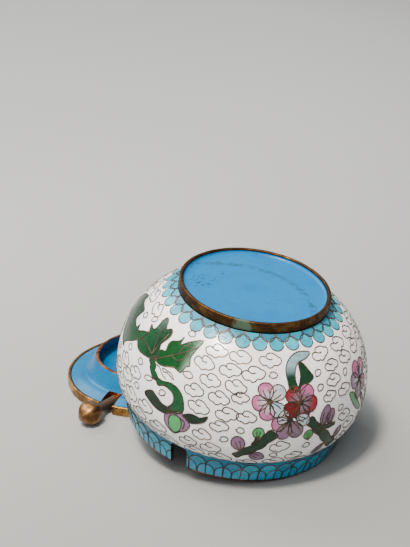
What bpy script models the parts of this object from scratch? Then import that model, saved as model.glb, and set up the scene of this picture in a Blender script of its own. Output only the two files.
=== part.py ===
"""A cloisonne incense burner laid out on a table: the pot upside down, leaning on its upturned lid.

The pot is modelled in its own upright frame, with z = 0 under the foot and the mouth at the top. The lid is
modelled as it lies, with its outer face down at z = 0. Empties then turn both into their places on the table.
"""
import math

import bmesh
import bpy
import numpy as np
from mathutils import Matrix, Vector

# Gap kept between pieces that touch
TOUCH_GAP = 0.0003

# Pot, heights measured from the foot's underside
FOOT_RADIUS = 0.0284
FOOT_HEIGHT = 0.0039
FOOT_THICKNESS = 0.0013
FOOT_EDGE = 0.0003
BASE_RECESS = 0.0018
BASE_FILLET = 0.0050
BELLY_RADIUS = 0.0476
BELLY_HEIGHT = 0.0365
BELLY_LOWER_POWER = 2.15
BELLY_UPPER_POWER = 2.6
POT_WALL = 0.0020

# Collar round the mouth, with the ledge inside it that carries the closed lid
SHOULDER_INSET = 0.0040
SHOULDER_RISE = 0.0125
COLLAR_TAPER = 0.0024
COLLAR_HEIGHT = 0.0103
COLLAR_WALL = 0.0020
MOUTH_EDGE = 0.0004
LEDGE_THICKNESS = 0.0020

# Lid, heights measured from the table it lies on
LID_PLAY = 0.0039
LID_BRIM_WIDTH = 0.0080
LID_BRIM_RISE = 0.0018
LID_SHEET = 0.0018
LID_CROWN = 0.0006
LID_BAND_HEIGHT = 0.0039
LID_BAND_THICKNESS = 0.0012
LID_BAND_EDGE = 0.0003
LID_FLANGE_HEIGHT = 0.0066
LID_FLANGE_TAPER = 0.0040
LID_FLANGE_SHEET = 0.0014
LEDGE_PLAY = 0.0012

# Knob: a bud on a stem that runs out through both notches
BUD_RADIUS = 0.00495
BUD_STANDOFF = 0.0104
BUD_TIP_ANGLE = math.radians(56)
BUD_TIP_RADIUS = 0.0005
STEM_ROOT_RADIUS = 0.0022
STEM_NECK_RADIUS = 0.0017
KNOB_RISE = math.radians(8)
LID_NOTCH_PLAY = 0.0010
POT_NOTCH_PLAY = 0.0012

# Places on the table, with bearings counted from +X towards +Y
LEAN_BEARING = math.radians(-39.0)
POT_NOTCH_BEARING = math.radians(-120.0)
LID_BEARING = math.radians(126.8)
LID_CENTRE_OUTSIDE_MOUTH = 0.0148
KNOB_BEARING = math.radians(-120.0)

# Facets
POT_SEGMENTS = 64
LID_SEGMENTS = 56
KNOB_SEGMENTS = 24
LOWER_CURVE_POINTS = 11
UPPER_CURVE_POINTS = 6
BUD_ARC_POINTS = 9
WELD_DISTANCE = 0.00001

# Search for the lean at which the pot comes down on the lid
STEEPEST_LEAN = math.radians(25)
LEAN_HALVINGS = 16
RING_SAMPLES = 120

# Sizes that follow from the ones above
BELLY_START = FOOT_HEIGHT + TOUCH_GAP
SHOULDER_HEIGHT = BELLY_HEIGHT + SHOULDER_RISE
SHOULDER_RADIUS = BELLY_RADIUS - SHOULDER_INSET
MOUTH_RADIUS = SHOULDER_RADIUS - COLLAR_TAPER
POT_HEIGHT = SHOULDER_HEIGHT + COLLAR_HEIGHT
MOUTH_INNER_RADIUS = MOUTH_RADIUS - COLLAR_WALL
LID_RADIUS = MOUTH_INNER_RADIUS - LID_PLAY
FLANGE_ROOT_RADIUS = LID_RADIUS - LID_BRIM_WIDTH
FLANGE_TOP_RADIUS = FLANGE_ROOT_RADIUS - LID_FLANGE_TAPER
PLATE_RADIUS = LID_RADIUS - LID_BAND_THICKNESS - TOUCH_GAP
PLATE_EDGE_TOP = LID_BAND_HEIGHT - LID_BAND_EDGE
FLANGE_ROOT_HEIGHT = PLATE_EDGE_TOP + LID_BRIM_RISE
LEDGE_RADIUS = FLANGE_ROOT_RADIUS + LEDGE_PLAY
LID_NOTCH_WIDTH = 2 * (STEM_ROOT_RADIUS + LID_NOTCH_PLAY)
POT_NOTCH_WIDTH = 2 * (STEM_ROOT_RADIUS + POT_NOTCH_PLAY)
CUTTER_MARGIN = 2 * POT_WALL


def clear_scene():
    """Remove every object the file opened with."""
    for thing in list(bpy.data.objects):
        bpy.data.objects.remove(thing, do_unlink=True)


def metal_or_enamel(name, colour, roughness, metallic):
    """Make a plain Principled material."""
    material = bpy.data.materials.new(name)
    material.use_nodes = True
    shader = material.node_tree.nodes["Principled BSDF"]
    shader.inputs["Base Color"].default_value = (*colour, 1.0)
    shader.inputs["Roughness"].default_value = roughness
    shader.inputs["Metallic"].default_value = metallic
    return material


def link_mesh(name, mesh, parent, material=None):
    """Turn a bmesh into an object under an empty."""
    data = bpy.data.meshes.new(name)
    mesh.to_mesh(data)
    mesh.free()
    thing = bpy.data.objects.new(name, data)
    bpy.context.scene.collection.objects.link(thing)
    thing.parent = parent
    if material is not None:
        data.materials.append(material)
        data.shade_smooth()
        data.set_sharp_from_angle(angle=math.radians(30))
    return thing


def lathe(outline, segments):
    """Turn (radius, height) points about Z into a closed solid; a ring's outline closes on itself."""
    mesh = bmesh.new()
    points = [mesh.verts.new((radius, 0.0, height)) for radius, height in outline]
    edges = [mesh.edges.new(pair) for pair in zip(points, points[1:])]
    if outline[0][0] > WELD_DISTANCE:
        edges.append(mesh.edges.new((points[-1], points[0])))
    bmesh.ops.spin(mesh, geom=points + edges, cent=(0, 0, 0), axis=(0, 0, 1), angle=math.tau,
                   steps=segments, use_merge=True)
    bmesh.ops.remove_doubles(mesh, verts=mesh.verts, dist=WELD_DISTANCE)
    bmesh.ops.recalc_face_normals(mesh, faces=mesh.faces)
    return mesh


def notch_cutter(name, parent, bearing, width, inner, outer, bottom, top):
    """Make a hidden box that cuts a radial notch."""
    mesh = bmesh.new()
    bmesh.ops.create_cube(mesh, size=1.0)
    for corner in mesh.verts:
        corner.co.x = outer if corner.co.x > 0 else inner
        corner.co.y *= width
        corner.co.z = top if corner.co.z > 0 else bottom
    cutter = link_mesh(name, mesh, parent)
    cutter.rotation_euler.z = bearing
    cutter.hide_render = True
    cutter.display_type = "WIRE"
    return cutter


def cut(thing, cutter):
    """Subtract a cutter from an object."""
    modifier = thing.modifiers.new("notch", "BOOLEAN")
    modifier.operation = "DIFFERENCE"
    modifier.solver = "EXACT"
    modifier.object = cutter


def empty(name, parent=None, placement=None):
    """Make an empty that carries other objects."""
    carrier = bpy.data.objects.new(name, None)
    bpy.context.scene.collection.objects.link(carrier)
    carrier.parent = parent
    if placement is not None:
        carrier.matrix_local = placement
    return carrier


def belly_curve(far_radius, far_drop, power, count):
    """List (radius, drop) points from the widest ring out to a far ring, along a superellipse."""
    reach = far_drop / (1 - (far_radius / BELLY_RADIUS) ** power) ** (1 / power)
    last = math.asin(min(1.0, (far_drop / reach) ** (power / 2)))
    turns = [last * step / (count - 1) for step in range(count)]
    return [(BELLY_RADIUS * math.cos(turn) ** (2 / power), reach * math.sin(turn) ** (2 / power))
            for turn in turns]


def belly_outline():
    """List the pot's outer (radius, height) points from the foot to the shoulder."""
    lower = belly_curve(FOOT_RADIUS, BELLY_HEIGHT - BELLY_START, BELLY_LOWER_POWER, LOWER_CURVE_POINTS)
    upper = belly_curve(SHOULDER_RADIUS, SHOULDER_RISE, BELLY_UPPER_POWER, UPPER_CURVE_POINTS)
    rising = [(radius, BELLY_HEIGHT - drop) for radius, drop in reversed(lower)]
    return rising + [(radius, BELLY_HEIGHT + drop) for radius, drop in upper[1:]]


def inset_outline(outline, depth):
    """Move an outline inwards along its normals, to make the inner face of a wall."""
    inner = []
    for index, (radius, height) in enumerate(outline):
        before = Vector(outline[max(index - 1, 0)])
        after = Vector(outline[min(index + 1, len(outline) - 1)])
        along = (after - before).normalized()
        inner.append((radius - along.y * depth, height + along.x * depth))
    return inner


def pot_outline():
    """List the pot's section, from the middle of its base out, up, over the mouth and back down inside."""
    boss = FOOT_RADIUS - FOOT_THICKNESS - TOUCH_GAP
    outer = belly_outline()
    ledge_bottom = SHOULDER_HEIGHT - LEDGE_THICKNESS
    wall = [point for point in inset_outline(outer, POT_WALL) if point[1] < ledge_bottom - POT_WALL / 2]
    floor = BASE_RECESS + POT_WALL
    base = [(0.0, BASE_RECESS), (boss, BASE_RECESS), (boss, BELLY_START)]
    mouth = [(MOUTH_RADIUS, POT_HEIGHT - MOUTH_EDGE), (MOUTH_RADIUS - MOUTH_EDGE, POT_HEIGHT),
             (MOUTH_INNER_RADIUS + MOUTH_EDGE, POT_HEIGHT), (MOUTH_INNER_RADIUS, POT_HEIGHT - MOUTH_EDGE)]
    ledge = [(SHOULDER_RADIUS - COLLAR_WALL, SHOULDER_HEIGHT), (LEDGE_RADIUS, SHOULDER_HEIGHT),
             (LEDGE_RADIUS, ledge_bottom), (wall[-1][0] - POT_WALL, ledge_bottom)]
    return base + outer + mouth + ledge + wall[::-1] + [(boss - BASE_FILLET, floor), (0.0, floor)]


def ring_outline(outer, thickness, height, edge):
    """List the section of an upright band whose corners are all taken off."""
    inner = outer - thickness
    return [(inner + edge, 0.0), (outer - edge, 0.0), (outer, edge), (outer, height - edge),
            (outer - edge, height), (inner + edge, height), (inner, height - edge), (inner, edge)]


def lid_outline():
    """List the lid sheet's section as it lies, from the middle of its underside out and back over the top."""
    edge_bottom = PLATE_EDGE_TOP - LID_SHEET
    under_flange = FLANGE_ROOT_HEIGHT - LID_SHEET
    top = FLANGE_ROOT_HEIGHT + LID_FLANGE_HEIGHT
    return [(0.0, under_flange - LID_CROWN), (FLANGE_ROOT_RADIUS, under_flange), (PLATE_RADIUS, edge_bottom),
            (PLATE_RADIUS, PLATE_EDGE_TOP), (FLANGE_ROOT_RADIUS, FLANGE_ROOT_HEIGHT),
            (FLANGE_TOP_RADIUS, top), (FLANGE_TOP_RADIUS - LID_FLANGE_SHEET, top),
            (FLANGE_ROOT_RADIUS - LID_FLANGE_SHEET, FLANGE_ROOT_HEIGHT), (0.0, FLANGE_ROOT_HEIGHT - LID_CROWN)]


def knob_outline():
    """List the knob's section along its own axis, from the stem's root to the bud's tip."""
    root = -(LID_RADIUS + BUD_STANDOFF - FLANGE_ROOT_RADIUS - TOUCH_GAP)
    neck = -math.acos(STEM_NECK_RADIUS / BUD_RADIUS)
    turns = [neck + (BUD_TIP_ANGLE - neck) * step / (BUD_ARC_POINTS - 1) for step in range(BUD_ARC_POINTS)]
    arc = [(BUD_RADIUS * math.cos(turn), BUD_RADIUS * math.sin(turn)) for turn in turns]
    tip = BUD_RADIUS / math.sin(BUD_TIP_ANGLE) - BUD_TIP_RADIUS
    return [(0.0, root), (STEM_ROOT_RADIUS, root)] + arc + [(BUD_TIP_RADIUS, tip), (0.0, tip)]


def pot_placement(lean):
    """Turn the upright pot mouth down, lean it and set the lowest point of its mouth on the table."""
    low_edge = min(-radius * math.sin(lean) + (POT_HEIGHT - height) * math.cos(lean)
                   for radius, height in pot_outline())
    tip_axis = Vector((-math.sin(LEAN_BEARING), math.cos(LEAN_BEARING), 0.0))
    upturned = Matrix.Rotation(math.pi, 4, "X") @ Matrix.Translation((0, 0, -POT_HEIGHT))
    turned = Matrix.Rotation(lean, 4, tip_axis) @ Matrix.Rotation(POT_NOTCH_BEARING, 4, "Z")
    return Matrix.Translation((0, 0, -low_edge)) @ turned @ upturned


def lid_placement():
    """Set the lid beside and under the pot's raised edge, with its notch at local +X."""
    reach = MOUTH_RADIUS + LID_CENTRE_OUTSIDE_MOUTH
    centre = (reach * math.cos(LID_BEARING), reach * math.sin(LID_BEARING), 0.0)
    return Matrix.Translation(centre) @ Matrix.Rotation(KNOB_BEARING, 4, "Z")


def knob_placement():
    """Lay the knob on the table, out through the lid's notch, with its tip a little raised."""
    lift = max(radius * math.cos(KNOB_RISE) - along * math.sin(KNOB_RISE) for radius, along in knob_outline())
    return (Matrix.Translation((LID_RADIUS + BUD_STANDOFF, 0, lift))
            @ Matrix.Rotation(math.pi / 2 - KNOB_RISE, 4, "Y"))


def lid_bites_pot(lean):
    """Say whether any ring of the lid comes within the touch gap of the pot's wall at this lean."""
    to_pot = np.array(pot_placement(lean).inverted() @ lid_placement())
    angles = np.linspace(0.0, math.tau, RING_SAMPLES, endpoint=False)
    rings = [(radius * np.cos(angles), radius * np.sin(angles), np.full(RING_SAMPLES, height))
             for radius, height in lid_outline() if radius > 0]
    points = to_pot[:3, :3] @ np.hstack(rings) + to_pot[:3, 3:]
    spots = np.stack([np.hypot(points[0], points[1]), points[2]], axis=1)
    section = np.array(pot_outline())
    starts, ends = section, np.roll(section, -1, axis=0)
    inside = np.zeros(len(spots), dtype=bool)
    nearest = np.full(len(spots), np.inf)
    for start, end in zip(starts, ends):
        run = end - start
        share = np.clip(((spots - start) @ run) / max(run @ run, WELD_DISTANCE ** 2), 0.0, 1.0)
        nearest = np.minimum(nearest, np.linalg.norm(spots - start - share[:, None] * run, axis=1))
        straddles = (start[1] > spots[:, 1]) != (end[1] > spots[:, 1])
        height_run = run[1] if run[1] else WELD_DISTANCE
        crossing = start[0] + (spots[:, 1] - start[1]) * run[0] / height_run
        inside ^= straddles & (spots[:, 0] < crossing)
    return bool(np.any(inside | (nearest < TOUCH_GAP)))


def resting_lean():
    """Find the smallest lean at which the pot's raised edge lies on the lid without biting into it."""
    flat, steep = 0.0, STEEPEST_LEAN
    for _ in range(LEAN_HALVINGS):
        middle = (flat + steep) / 2
        if lid_bites_pot(middle):
            flat = middle
        else:
            steep = middle
    return steep


def build_pot(table, enamel, brass):
    """Build the pot and its foot ring, mouth down on the table."""
    frame = empty("pot_frame", table, pot_placement(resting_lean()))
    body = link_mesh("pot_body", lathe(pot_outline(), POT_SEGMENTS), frame, enamel)
    cut(body, notch_cutter("pot_notch_cutter", frame, 0.0, POT_NOTCH_WIDTH,
                           MOUTH_INNER_RADIUS - CUTTER_MARGIN, SHOULDER_RADIUS + CUTTER_MARGIN,
                           SHOULDER_HEIGHT + TOUCH_GAP, POT_HEIGHT + CUTTER_MARGIN))
    foot = ring_outline(FOOT_RADIUS, FOOT_THICKNESS, FOOT_HEIGHT, FOOT_EDGE)
    link_mesh("foot_ring", lathe(foot, POT_SEGMENTS), frame, brass)


def build_lid(table, enamel, brass, knob_brass):
    """Build the upturned lid, its edge band and its knob."""
    frame = empty("lid_frame", table, lid_placement())
    cutter = notch_cutter("lid_notch_cutter", frame, 0.0, LID_NOTCH_WIDTH, FLANGE_ROOT_RADIUS,
                          LID_RADIUS + CUTTER_MARGIN, -CUTTER_MARGIN, FLANGE_ROOT_HEIGHT + CUTTER_MARGIN)
    cut(link_mesh("lid_plate", lathe(lid_outline(), LID_SEGMENTS), frame, enamel), cutter)
    band = ring_outline(LID_RADIUS, LID_BAND_THICKNESS, LID_BAND_HEIGHT, LID_BAND_EDGE)
    cut(link_mesh("lid_band", lathe(band, LID_SEGMENTS), frame, brass), cutter)
    knob_frame = empty("knob_frame", frame, knob_placement())
    link_mesh("lid_knob", lathe(knob_outline(), KNOB_SEGMENTS), knob_frame, knob_brass)


def centre_on_origin(table):
    """Move the whole set so that the origin is under the middle of its bounding box."""
    bpy.context.view_layer.update()
    depsgraph = bpy.context.evaluated_depsgraph_get()
    corners = []
    for thing in bpy.data.objects:
        if thing.type == "MESH" and not thing.hide_render:
            shown = thing.evaluated_get(depsgraph)
            corners += [thing.matrix_world @ point.co for point in shown.data.vertices]
    low = [min(corner[axis] for corner in corners) for axis in range(3)]
    high = [max(corner[axis] for corner in corners) for axis in range(3)]
    table.location = (-(low[0] + high[0]) / 2, -(low[1] + high[1]) / 2, -low[2])
    bpy.context.view_layer.update()


def main():
    """Build the pot and its lid as they lie on the table."""
    clear_scene()
    white = metal_or_enamel("white_enamel", (0.80, 0.78, 0.78), 0.22, 0.0)
    blue = metal_or_enamel("blue_enamel", (0.05, 0.35, 0.60), 0.20, 0.0)
    dark_brass = metal_or_enamel("tarnished_brass", (0.16, 0.09, 0.035), 0.45, 1.0)
    band_brass = metal_or_enamel("gilt_brass", (0.55, 0.36, 0.12), 0.28, 1.0)
    bud_brass = metal_or_enamel("bud_brass", (0.42, 0.24, 0.09), 0.38, 1.0)
    table = empty("table_frame")
    build_pot(table, white, dark_brass)
    build_lid(table, blue, band_brass, bud_brass)
    centre_on_origin(table)


main()
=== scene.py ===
"""Looks of a cloisonne incense burner: the pot upside down, leaning on its upturned lid.

Sizes are in millimetres unless a name says otherwise. The pot has its own frame, with z running from the
mouth (z = 0) to the foot, and bearings counted from +X towards +Y. Decoration is drawn on the pot's wall in
flat coordinates: across, along the wall to the right as seen from outside, and up, towards the foot.
"""

import bisect
import logging
import math
import random
from dataclasses import dataclass, field
from enum import Enum
from typing import Callable, Sequence

import bmesh
import bpy
import numpy as np
from mathutils import Matrix, Vector
from mathutils.kdtree import KDTree


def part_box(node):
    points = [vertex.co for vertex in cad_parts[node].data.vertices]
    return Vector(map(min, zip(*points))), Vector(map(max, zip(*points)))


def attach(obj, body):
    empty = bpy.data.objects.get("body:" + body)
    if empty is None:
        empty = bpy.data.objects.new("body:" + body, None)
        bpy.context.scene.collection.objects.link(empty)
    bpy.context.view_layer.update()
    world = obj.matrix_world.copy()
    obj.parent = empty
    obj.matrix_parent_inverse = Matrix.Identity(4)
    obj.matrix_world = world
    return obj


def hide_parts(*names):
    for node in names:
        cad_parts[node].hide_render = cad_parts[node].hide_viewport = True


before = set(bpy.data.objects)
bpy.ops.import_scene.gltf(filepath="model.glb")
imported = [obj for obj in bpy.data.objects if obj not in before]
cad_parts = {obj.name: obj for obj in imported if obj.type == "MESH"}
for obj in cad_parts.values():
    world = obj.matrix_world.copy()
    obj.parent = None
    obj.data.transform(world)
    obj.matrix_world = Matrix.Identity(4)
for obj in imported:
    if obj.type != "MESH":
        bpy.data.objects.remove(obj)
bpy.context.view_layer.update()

LOG = logging.getLogger("incense_burner")
MM = 0.001
BODY = "root"
SEED = 7
SHARP_ANGLE = 40.0
QUARTER_TURN = 1.5708
WELD = 0.002
WIRE_WELD = 0.02
CELL_SPLITS = 5

Flat = tuple[float, float]
Colour = tuple[float, float, float]


def screen(red: float, green: float, blue: float) -> Colour:
    """Turn a screen colour, with levels from 0 to 255, into scene-linear light."""
    return tuple(((level / 255 + 0.055) / 1.055) ** 2.4 if level > 10 else level / 3295
                 for level in (red, green, blue))


def blend_colours(first: Colour, second: Colour, share: float) -> Colour:
    """Mix two linear colours; a share of 0 gives the first and 1 the second."""
    return tuple(one + (two - one) * share for one, two in zip(first, second))


class Tint(Enum):
    """Enamel and wire colours, as they look in soft light."""

    TURQUOISE = screen(34, 152, 178)
    TURQUOISE_PALE = screen(56, 176, 200)
    TEAL = screen(34, 112, 142)
    TEAL_BRIGHT = screen(34, 138, 184)
    DARK_GREEN = screen(14, 52, 30)
    DEEP_GREEN = screen(12, 38, 24)
    GREEN = screen(16, 72, 38)
    BRIGHT_GREEN = screen(8, 66, 26)
    GREY_GREEN = screen(34, 58, 44)
    BUD_GREEN = screen(74, 160, 96)
    PALE_BLUE = screen(128, 160, 168)
    WHITISH = screen(186, 186, 192)
    ICE = screen(168, 190, 206)
    PINK = screen(182, 96, 142)
    ROSE = screen(132, 30, 42)
    RED = screen(98, 10, 10)
    LILAC = screen(134, 100, 132)
    GREY_LILAC = screen(122, 100, 116)
    LEAF_TIP = screen(124, 152, 130)


class Slot(Enum):
    """Order of the finishes on the pot's body."""

    BELLY = 0
    COLLAR = 1
    BASE = 2
    INSIDE = 3
    COPPER = 4


@dataclass(frozen=True)
class PotSizes:
    """Sizes of the pot, with heights measured from its foot.

    A face counts as the outer wall's when its middle is less than skin inside it, and margin is the slack
    in the other tests of where a face lies.
    """

    foot_radius: float = 28.4
    foot_height: float = 3.9
    foot_thickness: float = 1.3
    foot_edge: float = 0.45
    gap: float = 0.3
    foot_belt: float = 1.5
    base_recess: float = 1.8
    base_crown: float = 0.5
    base_meniscus: float = 1.8
    meniscus_rise: float = 1.1
    base_fillet: float = 5.0
    belly_radius: float = 47.6
    belly_height: float = 36.5
    lower_power: float = 2.15
    upper_power: float = 2.6
    wall: float = 2.0
    shoulder_radius: float = 43.6
    shoulder_height: float = 49.0
    mouth_radius: float = 41.2
    height: float = 59.3
    mouth_edge: float = 0.55
    edge_softness: float = 0.3
    rim_metal: float = 1.0
    ledge_thickness: float = 2.0
    ledge_radius: float = 28.5
    notch_width: float = 6.8
    notch_bearing: float = math.radians(-120.0)
    notch_corner: float = 1.4
    notch_room: float = 4.0
    skin: float = 0.6
    margin: float = 0.1
    base_rings: int = 8
    meniscus_turns: Sequence[float] = (0.35, 0.7, 1.0, 1.25, QUARTER_TURN)
    segments: int = 200
    lower_points: int = 44
    upper_points: int = 18
    collar_points: int = 8


@dataclass(frozen=True)
class LidSizes:
    """Sizes of the lid as it lies, with heights measured from the table."""

    radius: float = 35.3
    band_height: float = 3.9
    band_thickness: float = 1.2
    band_edge: float = 0.4
    plate_radius: float = 33.8
    plate_edge_top: float = 3.6
    sheet: float = 1.8
    flange_root_radius: float = 27.3
    flange_root_height: float = 5.4
    flange_top_radius: float = 23.3
    flange_top_height: float = 12.0
    flange_sheet: float = 1.4
    flange_metal: float = 0.2
    lip_edge: float = 0.3
    crown: float = 0.6
    notch_width: float = 6.4
    knob_bearing: float = math.radians(-120.0)
    segments: int = 180


@dataclass(frozen=True)
class KnobSizes:
    """Sizes of the bud knob and its stem; the collar's points are measured from the stem's end."""

    bud_radius: float = 4.95
    standoff: float = 10.4
    tip_angle: float = math.radians(56.0)
    tip_radius: float = 0.5
    root_radius: float = 2.2
    neck_radius: float = 1.7
    rise: float = math.radians(8.0)
    facet_power: float = 3.4
    facet_start: float = 0.6
    facet_reach: float = 2.5
    collar: Sequence[Flat] = ((0.5, -0.9), (0.7, -0.4))
    gap: float = 0.3
    segments: int = 96
    arc_points: int = 26


@dataclass(frozen=True)
class WireSizes:
    """Sizes of the partition wires and how far the inlay stands off the wall."""

    width: float = 0.40
    fine_width: float = 0.34
    crown: float = 0.09
    cell_lift: float = 0.05
    over_lift: float = 0.09
    wire_lift: float = 0.13
    cell_edge: float = 2.4


POT = PotSizes()
LID = LidSizes()
KNOB = KnobSizes()
WIRE = WireSizes()


def smooth_line(points: Sequence[Flat], pieces: int, closed: bool) -> list[Flat]:
    """Run a Catmull-Rom curve through points.

    Args:
        points: The points that it passes.
        pieces: Steps between neighbouring points.
        closed: Whether it returns to its start.

    Returns:
        Points along the curve.
    """
    count = len(points)
    spans = count if closed else count - 1
    line = []
    for span in range(spans):
        index = [span - 1, span, span + 1, span + 2]
        knots = [points[i % count] if closed else points[max(0, min(count - 1, i))] for i in index]
        for step in range(pieces):
            share = step / pieces
            weights = (-0.5 * share ** 3 + share ** 2 - 0.5 * share,
                       1.5 * share ** 3 - 2.5 * share ** 2 + 1,
                       -1.5 * share ** 3 + 2 * share ** 2 + 0.5 * share,
                       0.5 * share ** 3 - 0.5 * share ** 2)
            line.append(tuple(sum(w * knot[axis] for w, knot in zip(weights, knots)) for axis in (0, 1)))
    if not closed:
        line.append(tuple(points[-1]))
    return line


def petal_outline(base: Flat, tip: Flat, width: float, fullness: float, points: int) -> list[Flat]:
    """Outline a petal that starts in a point and ends round.

    Args:
        base, tip: Its two ends.
        width: Its greatest width.
        fullness: Where the greatest width is, as a share of its length.
        points: Points along each side.

    Returns:
        The closed outline, anticlockwise from the base.
    """
    along = Vector((tip[0] - base[0], tip[1] - base[1]))
    across = Vector((-along.y, along.x)).normalized()

    def half_width(share: float) -> float:
        """Give half the width at a share of the length."""
        if share < fullness:
            return width / 2 * math.sin(math.pi / 2 * share / fullness) ** 0.9
        return width / 2 * math.sqrt(max(0.0, 1 - ((share - fullness) / (1 - fullness)) ** 2))

    shares = [math.sin(math.pi / 2 * step / points) for step in range(points + 1)]
    right = [Vector(base) + along * share - across * half_width(share) for share in shares]
    left = [Vector(base) + along * share + across * half_width(share) for share in shares[1:-1]]
    return [tuple(point) for point in right + left[::-1]]


def ribbon_outline(line: Sequence[Flat], widths: Sequence[float]) -> list[Flat]:
    """Outline a ribbon that follows a line.

    Args:
        line: Points along its middle.
        widths: Its width at each of them.

    Returns:
        The closed outline.
    """
    left, right = [], []
    for index, point in enumerate(line):
        before = Vector(line[max(index - 1, 0)])
        after = Vector(line[min(index + 1, len(line) - 1)])
        along = (after - before).normalized()
        across = Vector((-along.y, along.x)) * widths[index] / 2
        left.append(tuple(Vector(point) + across))
        right.append(tuple(Vector(point) - across))
    return right + left[::-1]


def operator(operation: str, swapped: bool = False) -> Callable[["Signal", object], "Signal"]:
    """Make an arithmetic operator that adds a Math node.

    Args:
        operation: The node's operation.
        swapped: Whether the other value comes first.

    Returns:
        The operator.
    """
    def apply(signal: "Signal", other: object) -> "Signal":
        """Join a signal and another value.

        Args:
            signal: The signal.
            other: A signal or a number.

        Returns:
            The result.
        """
        terms = (other, signal) if swapped else (signal, other)
        node = signal.shader.make("ShaderNodeMath", {"operation": operation}, dict(enumerate(terms)))
        return Signal(signal.shader, node.outputs[0])

    return apply


class Signal:
    """A shader socket that can be used in arithmetic."""

    def __init__(self, shader: "Shader", socket: bpy.types.NodeSocket) -> None:
        """Keep the socket and the shader that it belongs to."""
        self.shader = shader
        self.socket = socket

    __add__ = __radd__ = operator("ADD")
    __sub__ = operator("SUBTRACT")
    __rsub__ = operator("SUBTRACT", True)
    __mul__ = __rmul__ = operator("MULTIPLY")
    __pow__ = operator("POWER")
    __rpow__ = operator("POWER", True)

    def between(self, low: float, high: float) -> "Signal":
        """Rise smoothly from 0 at low to 1 at high; a low above high falls instead.

        Args:
            low, high: Where the step starts and ends.

        Returns:
            The step.
        """
        start, end = (low, high) if low < high else (high, low)
        node = self.shader.make("ShaderNodeMapRange", {"interpolation_type": "SMOOTHSTEP"},
                                {"Value": self, "From Min": start, "From Max": end,
                                 "To Min": 0.0 if low < high else 1.0, "To Max": 1.0 if low < high else 0.0})
        return Signal(self.shader, node.outputs["Result"])


class Shader:
    """One node material, with short ways to make its nodes."""

    def __init__(self, name: str) -> None:
        """Start a material with its Principled surface and object coordinates.

        Args:
            name: The material's name.
        """
        self.material = bpy.data.materials.new(name)
        self.material.use_nodes = True
        self.tree = self.material.node_tree
        self.surface = self.tree.nodes["Principled BSDF"]
        texture = self.make("ShaderNodeTexCoord", {}, {})
        self.place = Signal(self, texture.outputs["Object"])

    def make(self, kind: str, settings: dict[str, object], inputs: dict[object, object]) -> bpy.types.Node:
        """Make a node.

        Args:
            kind: Its type.
            settings: Its properties, set first.
            inputs: Values, signals or colours for its inputs, by name or number.

        Returns:
            The node.
        """
        node = self.tree.nodes.new(kind)
        for key, value in settings.items():
            setattr(node, key, value)
        for key, value in inputs.items():
            self.feed(node.inputs[key], value)
        return node

    def feed(self, socket: bpy.types.NodeSocket, value: object) -> None:
        """Give a socket a value or link a signal to it.

        Args:
            socket: The input.
            value: A number, a colour, a vector or a signal.
        """
        if isinstance(value, Signal):
            self.tree.links.new(value.socket, socket)
        elif isinstance(value, tuple) and len(value) == 3 and socket.type == "RGBA":
            socket.default_value = (*value, 1.0)
        else:
            socket.default_value = value

    def noise(self, scale: float, detail: float = 3.0, roughness: float = 0.55) -> Signal:
        """Make a noise field around 0.5, with its scale in features for each metre."""
        node = self.make("ShaderNodeTexNoise", {"noise_dimensions": "3D"},
                         {"Vector": self.place, "Scale": scale, "Detail": detail, "Roughness": roughness})
        return Signal(self, node.outputs[0])

    def cells(self, scale: float) -> Signal:
        """Make the distance to scattered points, as many for each metre as the scale says."""
        node = self.make("ShaderNodeTexVoronoi", {"feature": "F1"}, {"Vector": self.place, "Scale": scale})
        return Signal(self, node.outputs["Distance"])

    def mix(self, share: object, first: object, second: object) -> Signal:
        """Mix two colours or colour signals; a share of 0 gives the first and 1 the second."""
        node = self.make("ShaderNodeMix", {"data_type": "RGBA"}, {0: share, 6: first, 7: second})
        return Signal(self, node.outputs[2])

    def far_from(self, spot: Vector) -> Signal:
        """Measure the distance in metres from a place on the object.

        Args:
            spot: The place, in metres.

        Returns:
            The distance.
        """
        shift = self.make("ShaderNodeVectorMath", {"operation": "SUBTRACT"}, {0: self.place, 1: tuple(spot)})
        length = self.make("ShaderNodeVectorMath", {"operation": "LENGTH"},
                           {0: Signal(self, shift.outputs[0])})
        return Signal(self, length.outputs["Value"])

    def attribute(self, name: str) -> Signal:
        """Read a colour attribute of the mesh."""
        node = self.make("ShaderNodeAttribute", {"attribute_name": name}, {})
        return Signal(self, node.outputs["Color"])

    def relief(self, height: Signal, strength: float, distance: float) -> None:
        """Bump the surface by a height, with a strength and a depth in metres."""
        node = self.make("ShaderNodeBump", {}, {"Height": height, "Strength": strength,
                                                "Distance": distance})
        self.tree.links.new(node.outputs["Normal"], self.surface.inputs["Normal"])

    def finish(self, **inputs: object) -> bpy.types.Material:
        """Set the surface's inputs.

        Args:
            inputs: Values or signals, with _ for a space in the input's name.

        Returns:
            The material.
        """
        for key, value in inputs.items():
            self.feed(self.surface.inputs[key.replace("_", " ")], value)
        return self.material


@dataclass(frozen=True)
class WhiteEnamel:
    """White ground enamel with pinholes and faint greying."""

    name: str = "white_ground_enamel"
    colour: Colour = screen(244, 241, 240)
    shade: Colour = screen(222, 219, 219)
    pit: Colour = screen(92, 84, 80)

    def build(self) -> bpy.types.Material:
        """Make the material.

        Returns:
            The material.
        """
        shader = Shader(self.name)
        patches = shader.noise(140, 4).between(0.40, 0.72)
        specks = shader.cells(420).between(0.16, 0.08) * shader.noise(230, 2).between(0.56, 0.64)
        ground = shader.mix(patches * 0.6, self.colour, self.shade)
        shader.relief(shader.noise(620, 3) + specks * -0.8, 0.16, 0.0004)
        return shader.finish(Base_Color=shader.mix(specks * 0.75, ground, self.pit),
                             Roughness=shader.noise(300, 3) * 0.12 + 0.26, IOR=1.52,
                             Coat_Weight=0.5, Coat_Roughness=0.2)


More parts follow.
